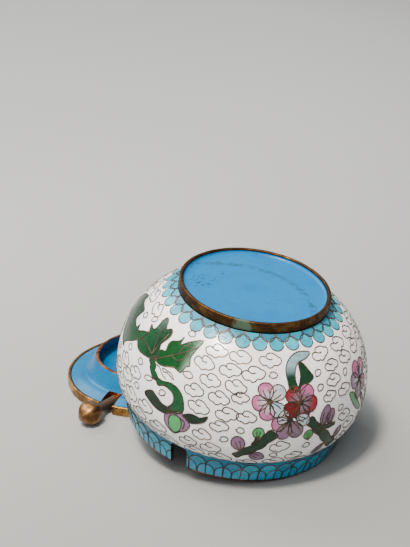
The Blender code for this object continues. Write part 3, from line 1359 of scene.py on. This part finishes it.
def leaf_spray(wall: PotWall) -> Spray:
    """Draw the big leaves, the curled stem and the bud on the pot's left.

    Args:
        wall: The pot's wall.

    Returns:
        The spray.
    """
    spray = Spray(wall, Anchor(-138.2, 24.0), "leaf_spray")
    spray.leaf([(-15.3, 1.3), (-24.1, -4.4), (-24.2, -6.6), (-29.6, -5.6), (-33.7, -3.4), (-37.5, -0.4),
                (-42.7, 2), (-39.7, 6.8), (-31.1, 10.8), (-30.4, 8.9), (-23.8, 8.9), (-24.4, 6.8),
                (-24.8, 4.4), (-20.8, 3.4), (-19.4, 5.5), (-18.2, 3.7), (-13.5, 5.8), (-11.4, 7)],
               Tint.GREY_GREEN, Tint.GREEN, -27.0, -13.0)
    spray.leaf([(-13.5, -0.1), (-11.1, -0.7), (-6.8, -0.2), (-4.5, 0.3), (-1.3, 1.7), (-2.1, 4.9),
                (-2.7, 6.3), (-2.7, 7.6), (-1.3, 10.5), (-1.6, 12.6), (-3.1, 13.5), (-5, 12.3),
                (-6.8, 14.8), (-8.3, 15.3), (-9.3, 13.3), (-9.4, 10.4), (-10.6, 8.8), (-13, 9.5),
                (-12.7, 8.4), (-11.6, 6.5), (-14.4, 5.6), (-17.5, 3.3), (-15.3, 1.3)],
               Tint.GREEN, Tint.DARK_GREEN, -14.0, -4.0)
    spray.leaf([(0, 0.8), (2.6, 1), (5.4, 2), (7.4, 2.6), (10.4, 2.1), (11, 4.7), (12.1, 5.6), (10.7, 8.3),
                (10.7, 11.7), (10.6, 15.7), (6.6, 13.2), (4.4, 10.7), (4, 12.3), (3.6, 13.8), (3, 11.7),
                (0.6, 10.3), (-0.1, 8.6), (0.5, 6), (-1.7, 5.2), (-1.3, 1.7)],
               Tint.BRIGHT_GREEN, Tint.LEAF_TIP, 8.6, 12.0, 1)
    for vein in ([(-1.3, 1.7), (4.7, 6.6), (8, 9.6), (10.9, 12.7)],
                 [(6, 8.1), (5.9, 10.6), (7.3, 12.2)],
                 [(4.4, 5.6), (7, 5.3), (8.6, 6.9), (8.5, 8.9)],
                 [(-4.2, 2.2), (-5.6, 7.0), (-7.6, 12.6)],
                 [(-4.2, 2.2), (-3.4, 7.0), (-2.6, 11.4)],
                 [(-4.5, 2.0), (-9.5, 3.4), (-14.5, 3.0)],
                 [(-0.6, 0), (1.6, 0), (3.5, -1.4), (6.1, -2.5)]):
        spray.line(vein)
    spray.line([(3, 0.4), (5.4, 0.4), (7.4, 0.2), (9.2, -1.4), (5.8, -0.2), (4.1, -0.6)], True)
    spray.twig([(-3.4, 1.2), (-1.6, -0.8), (-0.4, -2.8), (2.4, -4.3)], 3.0, 2.0, Tint.GREEN)
    spray.leaf([(3.8, -6.1), (6.7, -4.9), (10.2, -5.6), (11.9, -7.7), (11.7, -9.8), (10.5, -12),
                (13.3, -12.8), (16.3, -11.4), (16.6, -9.2), (14.9, -5.5), (11.9, -3.3), (8.6, -2.8),
                (5.2, -3.7), (2.1, -3.7)], Tint.GREEN)
    spray.leaf([(2.1, -13.6), (5.4, -14.7), (9.2, -14.8), (12.5, -13.1), (11.3, -11.6), (8.1, -11.6),
                (4.8, -10), (1.9, -9.1), (-1.2, -11.7)], Tint.DEEP_GREEN)
    spray.leaf([(10.1, -17.8), (11.6, -19.7), (14.2, -21.1), (16.7, -19.4), (19, -17.9), (20.2, -15.2),
                (18.6, -12.9), (15.5, -11.3), (12, -13), (9.7, -15)], Tint.LILAC)
    spray.leaf([(12.0, -18.4), (14.2, -20.6), (16.6, -18.6), (16.8, -15.0), (14.6, -13.2), (11.9, -14.6)],
               Tint.BUD_GREEN, over=1)
    spray.line([(14.8, -13.4), (18.0, -14.6), (17.6, -18.0)])
    spray.leaf([(18.3, -13.1), (20, -14), (23, -13.2), (25.3, -11.6), (25.8, -9.4), (23.2, -10.7),
                (21.6, -10.4), (19.3, -10.5), (16.8, -12)], Tint.DEEP_GREEN)
    spray.line([(11.2, 2.8), (13.3, 3.8), (15.2, 2.6), (14.5, 1.5), (12.3, 1.7)], True)
    spray.line([(-2.1, -5.2), (0.8, -5.2), (-0.7, -6.9), (-3.3, -6.7)], True)
    return spray


def plum_spray(wall: PotWall, anchor: Anchor, name: str, plain: bool) -> Spray:
    """Draw three blossoms on a forked twig.

    Args:
        wall: The pot's wall.
        anchor: Where it sits.
        name: Start of the pieces' names.
        plain: Whether it leaves out the second twig and its buds.

    Returns:
        The spray.
    """
    spray = Spray(wall, anchor, name)
    spray.twig([(-16.8, -23), (-14.5, -20.7), (-10.5, -17.7), (-7.4, -14.5), (-4.3, -11.1)], 2.8, 4.2)
    spray.twig([(-11.4, -16.6), (-10.6, -14.6), (-10.1, -12.6)], 1.4, 1.0)
    spray.bud((-10.2, -14.0), (-10.1, -9.2), 4.2, Tint.BUD_GREEN, Tint.BUD_GREEN)
    spray.bud((-15.4, -19.8), (-17.8, -13.6), 5.0, Tint.GREY_LILAC, Tint.LILAC)
    spray.bud((-12.2, -20.4), (-6.4, -23.4), 4.4, Tint.LILAC, Tint.GREY_LILAC)
    if not plain:
        spray.twig([(8.4, -7.3), (11.9, -10.8), (15.4, -14.4), (18.9, -18.3), (22.6, -22.6)], 3.2, 4.0)
        spray.twig([(12.9, -12.6), (16.6, -12.2), (21.4, -12.3)], 2.8, 1.4)
        spray.bud((9.4, -15.9), (8.9, -11.6), 4.0, Tint.BUD_GREEN, Tint.BUD_GREEN)
        for base, tip, width in (((14.6, -12.0), (16.8, -3.6), 4.6), ((18.0, -12.0), (19.2, -5.6), 3.6),
                                 ((21.6, -19.8), (25.6, -15.0), 3.2), ((18.2, -19.4), (13.2, -24.4), 2.8)):
            spray.bud(base, tip, width, Tint.GREY_LILAC, Tint.LILAC)
    spray.leaf([(3.6, 4.2), (2.9, 7.5), (3.1, 11), (4.6, 13.6), (8.0, 14.6), (9.9, 16.6), (4.9, 17.4),
                (1.4, 15.4), (-0.4, 12.0), (-0.3, 8.4), (0.8, 3.6)],
               Tint.DARK_GREEN, Tint.PALE_BLUE, 9.0, 12.5, axis=1)
    spray.leaf([(4.6, 12.2), (4.9, 8.7), (3.6, 3.4), (6.0, 4.6), (8.2, 6.0), (10.2, 7.6), (8.6, 10.2),
                (6.8, 12.7), (5.0, 14.0)], Tint.DARK_GREEN)
    spray.bud((3.2, -5.2), (8.6, -8.4), 4.6, Tint.WHITISH, Tint.ICE)
    spray.blossom(Blossom((0.8, -6.4), [((-5.8, -8.6), Tint.ICE, Tint.PINK),
                                        ((-2.0, -13.9), Tint.GREY_LILAC, Tint.LILAC),
                                        ((5.2, -13.4), Tint.GREY_LILAC, Tint.GREY_LILAC),
                                        ((-3.6, -4.6), Tint.WHITISH, Tint.WHITISH)]))
    spray.blossom(Blossom((-7, 0.5), [((-9, 6.9), Tint.WHITISH, Tint.PINK),
                                      ((-13.2, -0.6), Tint.WHITISH, Tint.PINK),
                                      ((-8.3, -6.3), Tint.WHITISH, Tint.PINK),
                                      ((-1.8, 5.6), Tint.WHITISH, Tint.WHITISH),
                                      ((-2.0, -4.6), Tint.ICE, Tint.ICE)]))
    spray.blossom(Blossom((4.6, -0.4), [((0.0, 4.6), Tint.GREY_LILAC, Tint.ROSE),
                                        ((8.6, 5.2), Tint.GREY_LILAC, Tint.PINK),
                                        ((11.4, -2.2), Tint.GREY_LILAC, Tint.ROSE),
                                        ((-1.2, -4.2), Tint.RED, Tint.RED),
                                        ((6.0, -7.0), Tint.GREY_LILAC, Tint.RED)], 6.2))
    return spray


def edge_spray(wall: PotWall) -> Spray:
    """Draw the blossom that turns out of sight at the pot's right.

    Args:
        wall: The pot's wall.

    Returns:
        The spray.
    """
    spray = Spray(wall, Anchor(-29.6, 27.7), "edge_spray")
    spray.leaf([(-5.4, -1.0), (-1.6, -2.2), (1.0, -6.2), (5.6, -12.2), (1.2, -10.4), (-3.0, -6.0)],
               Tint.BUD_GREEN, Tint.GREEN, -4.0, 6.0)
    spray.blossom(Blossom((3.6, 1.0), [((9.8, 6.2), Tint.WHITISH, Tint.PINK),
                                       ((1.6, 8.2), Tint.LILAC, Tint.PINK),
                                       ((-3.4, 2.6), Tint.WHITISH, Tint.LILAC),
                                       ((0.4, -5.6), Tint.WHITISH, Tint.LILAC),
                                       ((8.8, -3.4), Tint.LILAC, Tint.PINK)], 6.0))
    spray.twig([(4.4, -5.6), (8.2, -11.2), (13.4, -16.0)], 1.6, 2.6)
    spray.bud((12.0, -14.0), (14.6, -8.4), 3.8, Tint.GREY_LILAC, Tint.LILAC)
    return spray


@dataclass
class CloudField:
    """Curled clouds, each one wire, laid in staggered rows over the white ground.

    Attributes:
        width: Width of a full cloud.
        flatness: Its height, as a share of the drawn curl.
        rows: Arc length of each row and how many clouds it has.
        clearance: Least distance from the sprays.
        room: Distance between clouds across and along the wall.
        sway: How far chance moves a point or a cloud.
        curl, curl_width, loop: The two drawings, in units of their own, and the width of the first.
        moves: Shifts across and up that are tried for a cloud, and its size there.
        gaps: Shifts that are tried for small loops where no cloud fits.
        loop_size: Size of a small loop.
    """

    wall: PotWall
    width: float = 8.2
    flatness: float = 0.98
    rows: Sequence[tuple[float, int]] = ((10.0, 22), (15.3, 26), (20.5, 29), (25.6, 29), (30.7, 29),
                                         (35.8, 29), (40.9, 29), (46.0, 29), (50.6, 29))
    clearance: float = 0.75
    room: Flat = (8.0, 4.7)
    sway: float = 0.4
    curl: Sequence[Flat] = ((2.5, 1), (0, 0.5), (-2.5, 1.2), (-4, 3.5), (-2.5, 6), (0.5, 6.7), (4.5, 5.4),
                            (7, 3.5), (10, 2), (11, -1), (9, -4), (6, -5.2), (4, -4.8), (2, -6.8),
                            (-1, -7.2), (-3.5, -5.5), (-6.5, -5.3), (-9.3, -3), (-10.2, 0.3), (-8.5, 2.8),
                            (-5.7, 3.1), (-4.1, 2.2))
    curl_width: float = 21.2
    loop: Sequence[Flat] = ((-2, 1.5), (0, 4), (4, 4.4), (8, 1.6), (6, -2.4), (1, -3.4), (-3, -1.6),
                            (-1, 0.4))
    moves: Sequence[tuple[float, float, float]] = (
        (0.0, 0.0, 1.0), (-1.6, 0.0, 0.94), (1.6, 0.0, 0.94), (0.0, 1.3, 0.92), (0.0, -1.3, 0.92),
        (-3.0, 0.0, 0.86), (3.0, 0.0, 0.86), (-1.5, 1.5, 0.8), (1.5, -1.5, 0.8), (-4.4, 0.0, 0.8),
        (4.4, 0.0, 0.8))
    gaps: Sequence[Flat] = ((-3.2, 0.0), (0.0, 0.0), (3.2, 0.0), (0.0, 2.2), (0.0, -2.2), (-4.6, 1.4),
                            (4.6, -1.4))
    loop_size: float = 0.72

    def __post_init__(self) -> None:
        """Start with nothing laid and nothing to keep off."""
        self.inlay = Inlay(self.wall)
        self.placed: list[Flat] = []
        self.source = random.Random(SEED)
        self.taken = KDTree(0)

    def build(self, sprays: Sequence[Spray], metal: bpy.types.Material) -> None:
        """Lay the clouds around the sprays.

        Args:
            sprays: The drawings that they keep off.
            metal: The wires' finish.
        """
        points = [point.co.copy() for spray in sprays for mesh in (spray.inlay.enamel, spray.inlay.wires)
                  for point in mesh.verts]
        self.taken = KDTree(len(points))
        for index, point in enumerate(points):
            self.taken.insert(point, index)
        self.taken.balance()
        for order, (arc, count) in enumerate(self.rows):
            for index in range(count):
                self._one(360.0 * (index + 0.5 * (order % 2)) / count, arc)
        self.inlay.pieces("cloud", metal, metal)

    def _one(self, turn: float, arc: float) -> None:
        """Lay one cloud, moved a little or replaced by small loops where it doesn't fit.

        Args:
            turn: Its bearing in degrees.
            arc: Its arc length.
        """
        radius = self.wall.section(arc)[0][0]
        unit = self.width / self.curl_width
        chance = self.source.uniform
        for across, up, grow in self.moves:
            tilt = math.radians(chance(-9, 9))
            size = unit * grow * chance(0.96, 1.04)
            shift = across + chance(-self.sway, self.sway)
            spot = Anchor(turn + math.degrees(shift / radius), arc - up)
            curl = [self._turned(x + chance(-self.sway, self.sway),
                                 (y + chance(-self.sway, self.sway)) * self.flatness, size, tilt)
                    for x, y in self.curl]
            if self._lay(spot, curl, grow):
                return
        for across, up in self.gaps:
            spot = Anchor(turn + math.degrees(across / radius), arc - up)
            tilt = chance(-0.6, 0.6)
            loop = [self._turned(x, y, unit * self.loop_size, tilt) for x, y in self.loop]
            self._lay(spot, loop, self.loop_size)

    def _lay(self, spot: Anchor, line: Sequence[Flat], share: float) -> bool:
        """Lay a wire if it keeps off the sprays and the clouds laid so far.

        Args:
            spot: Where the wire sits.
            line: Its points.
            share: Share of a full cloud's room that it needs.

        Returns:
            Whether it was laid.
        """
        middle = spot.locate(self.wall, (0.0, 0.0))
        radius = self.wall.section(spot.arc)[0][0]
        for other in self.placed:
            across = math.remainder(middle[0] - other[0], math.tau) * radius / self.room[0]
            if math.hypot(across, (middle[1] - other[1]) / self.room[1]) < share:
                return False
        smooth = smooth_line(line, 2, False)
        if not self._clear(spot, smooth):
            return False
        self.inlay.wire(spot, smooth)
        self.placed.append(middle)
        return True

    def _clear(self, anchor: Anchor, line: Sequence[Flat]) -> bool:
        """Say whether a line from an anchor keeps off the sprays."""
        spots = [self.wall.spot(*anchor.locate(self.wall, point), 0.0)[0] for point in line[::2]]
        return all(self.taken.find(spot)[2] > self.clearance * MM for spot in spots)

    @staticmethod
    def _turned(x: float, y: float, grow: float, tilt: float) -> Flat:
        """Scale and turn a point."""
        return (grow * (x * math.cos(tilt) - y * math.sin(tilt)),
                grow * (x * math.sin(tilt) + y * math.cos(tilt)))


@dataclass
class Lid:
    """The upturned lid: enamel plate with its flange, brass band and knob.

    Attributes:
        sizes, knob: Sizes of the lid and of its knob.
        brim_shares, flange_shares, well_shares, floor_shares, bottom_shares: Where each stretch of the
            plate's section has its points, as shares of its length.
        stem_shares, tip_shares: The same for the knob's stem and tip.
        notch_room: How far the notch's cutter passes the plate.
    """

    sizes: LidSizes = field(default=LID)
    knob: KnobSizes = field(default=KNOB)
    brim_shares: Sequence[float] = (0.0, 0.2, 0.4, 0.6, 0.8, 0.94)
    flange_shares: Sequence[float] = (0.06, 0.3, 0.6, 0.86)
    well_shares: Sequence[float] = (0.14, 0.4, 0.7, 0.95)
    floor_shares: Sequence[float] = (0.96, 0.8, 0.6, 0.4, 0.2, 0.0)
    bottom_shares: Sequence[float] = (0, 0.25, 0.5, 0.75, 1.0)
    stem_shares: Sequence[float] = (0.0, 0.25, 0.5, 0.7, 0.82)
    tip_shares: Sequence[float] = (0.3, 0.6, 0.85, 1.0)
    notch_room: float = 4.0

    def __post_init__(self) -> None:
        """Find the lid's place from its band in the frame."""
        low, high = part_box("lid_band")
        middle = [(low[axis] + high[axis]) / 2 for axis in (0, 1)]
        self.place = (Matrix.Translation((*middle, 0.0)) @ Matrix.Rotation(self.sizes.knob_bearing, 4, "Z")
                      @ Matrix.Scale(MM, 4))

    def stem_middle(self) -> Vector:
        """Find the middle of the knob's stem, in metres in the scene."""
        reach = (self.sizes.radius + self.knob.standoff + self.sizes.flange_root_radius) / 2
        return self.place @ Vector((reach - 1.0, 0.0, self.knob.bud_radius))

    def _cutter(self) -> bmesh.types.BMesh:
        """Make the cutter of the lid's notch.

        Returns:
            The cutter.
        """
        size = self.sizes
        half = size.notch_width / 2
        room = self.notch_room
        low = Vector((size.flange_root_radius, -half, -room))
        high = Vector((size.radius + room, half, size.flange_root_height + room))
        return box_cutter(low, high, 0.0, self.place)

    def plate(self, enamel: bpy.types.Material, metal: bpy.types.Material) -> None:
        """Make the enamelled plate with its flange.

        Args:
            enamel, metal: Their finishes.
        """
        size = self.sizes
        root, lip = size.flange_root_radius, size.flange_top_radius
        base, top = size.flange_root_height, size.flange_top_height
        inner, inner_root = lip - size.flange_sheet, root - size.flange_sheet
        edge_top, edge_low = size.plate_edge_top, size.plate_edge_top - size.sheet
        brim = [(size.plate_radius + (root - size.plate_radius) * share,
                 edge_top + (base - edge_top) * math.sin(share * QUARTER_TURN)) for share in self.brim_shares]
        flange = [(root + (lip - root) * share, base + (top - base) * share) for share in self.flange_shares]
        rim = [(lip + 0.1, top - size.lip_edge), (lip - size.lip_edge, top), (inner + size.lip_edge, top),
               (inner, top - size.lip_edge)]
        well = [(inner + (inner_root - inner) * share, top - (top - base) * share)
                for share in self.well_shares]
        floor = [(inner_root * share, base - size.crown * (1 - share ** 2)) for share in self.floor_shares]
        bottom = [(root * share, base - size.sheet - size.crown * (1 - share ** 2))
                  for share in self.bottom_shares]
        section = bottom + [(size.plate_radius, edge_low)] + brim + flange + rim + well + floor
        mesh = lathe(section, size.segments, False)
        for face in mesh.faces:
            middle = face.calc_center_median()
            radius = math.hypot(middle.x, middle.y)
            on_lip = middle.z > top - size.flange_metal
            face.material_index = 1 if on_lip or radius > size.plate_radius - 0.05 else 0
        bmesh.ops.transform(mesh, matrix=self.place, verts=mesh.verts)
        plate = finished("lid_enamel_plate", mesh, [enamel, metal], ["lid_plate"])
        cut_notch(plate, self._cutter(), 1)

    def band(self, metal: bpy.types.Material) -> None:
        """Make the brass band round the lid.

        Args:
            metal: Its finish.
        """
        size = self.sizes
        mesh = lathe(rounded_ring(size.radius, size.band_thickness, 0.0, size.band_height, size.band_edge),
                     size.segments, True)
        bmesh.ops.transform(mesh, matrix=self.place, verts=mesh.verts)
        band = finished("lid_brass_band", mesh, [metal], ["lid_band"])
        cut_notch(band, self._cutter(), 0)

    def bud(self, metal: bpy.types.Material) -> None:
        """Make the bud knob with its stem.

        Args:
            metal: Its finish.
        """
        size = self.knob
        root = -(self.sizes.radius + size.standoff - self.sizes.flange_root_radius - size.gap)
        neck = -math.acos(size.neck_radius / size.bud_radius)
        count = size.arc_points
        turns = [neck + (size.tip_angle - neck) * step / (count - 1) for step in range(count)]
        arc = [(size.bud_radius * math.cos(turn), size.bud_radius * math.sin(turn)) for turn in turns]
        tip = size.bud_radius / math.sin(size.tip_angle) - size.tip_radius
        plain = [(0.0, root), (size.root_radius, root)] + arc + [(size.tip_radius, tip), (0.0, tip)]
        lift = max(radius * math.cos(size.rise) - along * math.sin(size.rise) for radius, along in plain)
        end = arc[0]
        stem = [(size.root_radius + (end[0] - size.root_radius) * share, root + (end[1] - root) * share)
                for share in self.stem_shares]
        collar = [(end[0] + out, end[1] + along) for out, along in size.collar]
        point = [(arc[-1][0] + (size.tip_radius - arc[-1][0]) * share,
                  arc[-1][1] + (tip - 0.1 - arc[-1][1]) * share) for share in self.tip_shares]
        crest = [(size.tip_radius * 0.6, tip), (0.0, tip)]
        mesh = lathe([(0.0, root)] + stem + collar + arc[1:] + point + crest, size.segments, False)
        power = size.facet_power
        for vertex in mesh.verts:
            past = vertex.co.z - end[1] - size.facet_start
            if past > 0:
                turn = math.atan2(vertex.co.y, vertex.co.x)
                side = (abs(math.cos(turn)) ** power + abs(math.sin(turn)) ** power) ** (-1 / power)
                shrink = 1 + (side / 2 ** (0.5 - 1 / power) - 1) * min(1.0, past / size.facet_reach)
                vertex.co.x *= shrink
                vertex.co.y *= shrink
        place = (self.place @ Matrix.Translation((self.sizes.radius + size.standoff, 0, lift))
                 @ Matrix.Rotation(math.pi / 2 - size.rise, 4, "Y"))
        bmesh.ops.transform(mesh, matrix=place, verts=mesh.verts)
        finished("bud_knob", mesh, [metal], ["lid_knob"], 60)


@dataclass(frozen=True)
class SoftBox:
    """A square studio light aimed at the pot."""

    name: str
    place: Vector
    size: float
    power: float
    colour: Colour = (1.0, 1.0, 1.0)

    def build(self, aim: Vector) -> None:
        """Make the light.

        Args:
            aim: The point that it faces.
        """
        data = bpy.data.lights.new(self.name, "AREA")
        data.shape = "SQUARE"
        data.size = self.size
        data.energy = self.power
        data.color = self.colour
        lamp = bpy.data.objects.new(self.name, data)
        bpy.context.scene.collection.objects.link(lamp)
        lamp.location = self.place
        lamp.rotation_euler = (aim - self.place).to_track_quat("-Z", "Y").to_euler()


@dataclass
class Studio:
    """Floor, light and camera."""

    floor_half: float = 6.0
    ambient: float = 0.42
    camera_place: Vector = Vector((-0.00183, -0.4621, 0.2528))
    camera_pitch: float = math.radians(22.6)
    focal_length: float = 85.56

    def build(self, paper: bpy.types.Material) -> None:
        """Make the studio.

        Args:
            paper: The floor's finish.
        """
        mesh = bmesh.new()
        bmesh.ops.create_grid(mesh, x_segments=4, y_segments=4, size=self.floor_half)
        data = bpy.data.meshes.new("floor")
        mesh.to_mesh(data)
        mesh.free()
        data.materials.append(paper)
        floor = bpy.data.objects.new("floor", data)
        bpy.context.scene.collection.objects.link(floor)
        aim = Vector((0.0, -0.01, 0.03))
        for box in (SoftBox("key", Vector((-0.50, -0.36, 1.50)), 0.8, 14.0, (1.0, 0.98, 0.95)),
                    SoftBox("glint", Vector((-0.33, -0.53, 1.42)), 0.24, 40.0, (1.0, 0.91, 0.79)),
                    SoftBox("front", Vector((-0.5, -1.7, 1.65)), 1.6, 25.0),
                    SoftBox("back", Vector((-1.8, 1.7, 2.8)), 2.4, 105.0, (0.97, 0.985, 1.0))):
            box.build(aim)
        world = bpy.data.worlds.new("studio")
        world.use_nodes = True
        background = world.node_tree.nodes["Background"]
        background.inputs["Color"].default_value = (0.98, 0.99, 1.0, 1.0)
        background.inputs["Strength"].default_value = self.ambient
        bpy.context.scene.world = world
        view = bpy.data.cameras.new("camera")
        view.lens = self.focal_length
        view.sensor_width = 36.0
        view.clip_start = 0.01
        camera = bpy.data.objects.new("camera", view)
        bpy.context.scene.collection.objects.link(camera)
        camera.location = self.camera_place
        camera.rotation_euler = (math.pi / 2 - self.camera_pitch, 0.0, 0.0)
        bpy.context.scene.camera = camera


def report(piece: str) -> None:
    """Log that a piece is done."""
    LOG.info("built %s", piece)


def main() -> None:
    """Build every piece in order."""
    logging.basicConfig(level=logging.INFO, format="%(message)s")
    wall = PotWall()
    base_level = POT.height - POT.base_recess
    # Middle of the painted shade arc on the base; the chips' spot follows.
    painted_shade_arc = wall.place @ Vector((-8.0, -13.0, base_level))
    chips = wall.place @ Vector((-19.5, 1.0, base_level))
    patina = wall.spot(math.radians(-100.0), POT.gap, 0.0)[0] + Vector((0, 0, 0.0015))
    white = WhiteEnamel().build()
    inlaid = InlaidEnamel().build()
    base = PlainEnamel("base_enamel", screen(0, 106, 162), screen(0, 88, 144), specks=0.9, painted_shade_arc=0.9,
                       painted_shade_arc_spot=painted_shade_arc, painted_shade_arc_radius=0.0293, chip_spot=chips).build()
    # Near-black inside finish: painted shade inside the pot, on its ledge and on the foot's recess wall.
    inside = PlainEnamel("inside_enamel", screen(34, 36, 38), screen(20, 20, 20)).build()
    collar = PlainEnamel("collar_enamel", Tint.TEAL.value, screen(34, 98, 122)).build()
    lid_blue = PlainEnamel("lid_enamel", screen(0, 98, 144), screen(0, 80, 124), specks=0.4).build()
    copper = AgedMetal("copper_rim", screen(176, 112, 72), screen(70, 44, 30), 0.46, 0.40).build()
    wires = AgedMetal("wire_brass", screen(116, 88, 62), screen(46, 36, 32), 0.42, 0.40,
                      grain=1500, metallic=0.45).build()
    foot = AgedMetal("foot_brass", screen(122, 84, 46), screen(66, 46, 28), 0.42, 0.42,
                     grain=800, patina_and_shade_spot=patina).build()
    gilt = AgedMetal("band_brass", screen(206, 158, 86), screen(112, 78, 44), 0.46, 0.30).build()
    lid = Lid()
    # Dark brown patch on the knob's stem: dark tarnish with painted shade, as the stem lies in the pot's
    # shadow.
    bud = AgedMetal("bud_brass", screen(172, 128, 80), screen(86, 60, 38), 0.48, 0.36,
                    patina_and_shade_spot=lid.stem_middle(), patina_and_shade_radius=0.0085, patina=screen(40, 28, 20),
                    patina_and_shade_share=0.9).build()

    PotBody(wall).build([white, collar, base, inside, copper])
    report("pot body")
    FootRing(wall).build(foot)
    report("foot ring")
    foot_rows = (ScaleRow(3.4, 0.3, 5.0, 0.5, (Tint.TURQUOISE, Tint.TEAL), 0),
                 ScaleRow(6.8, 1.7, 5.2, 0.0, (Tint.TURQUOISE, Tint.TURQUOISE_PALE), 1, True))
    ScaleBorder(wall, "foot_scale", 33, foot_rows).build(inlaid, wires)
    report("foot scales")
    rim = wall.rim_arc
    collar_rows = (ScaleRow(54.7, rim, 6.3, 0.5, (Tint.TEAL, Tint.TURQUOISE), 0),
                   ScaleRow(57.8, rim, 6.2, 0.0, (Tint.TEAL_BRIGHT, Tint.TURQUOISE), 1))
    ScaleBorder(wall, "collar_scale", 41, collar_rows, True).build(inlaid, wires)
    report("collar scales")
    sprays = [leaf_spray(wall), plum_spray(wall, Anchor(-72.2, 25.0), "plum_spray", False),
              edge_spray(wall), plum_spray(wall, Anchor(78.0, 27.0), "back_spray", True)]
    CloudField(wall).build(sprays, wires)
    report("clouds")
    for spray in sprays:
        spray.inlay.pieces(spray.name, inlaid, wires)
        report(spray.name)
    lid.plate(lid_blue, copper)
    lid.band(gilt)
    lid.bud(bud)
    report("lid")
    Studio().build(Backdrop().build())
    report("studio")


if __name__ == "__main__":
    main()
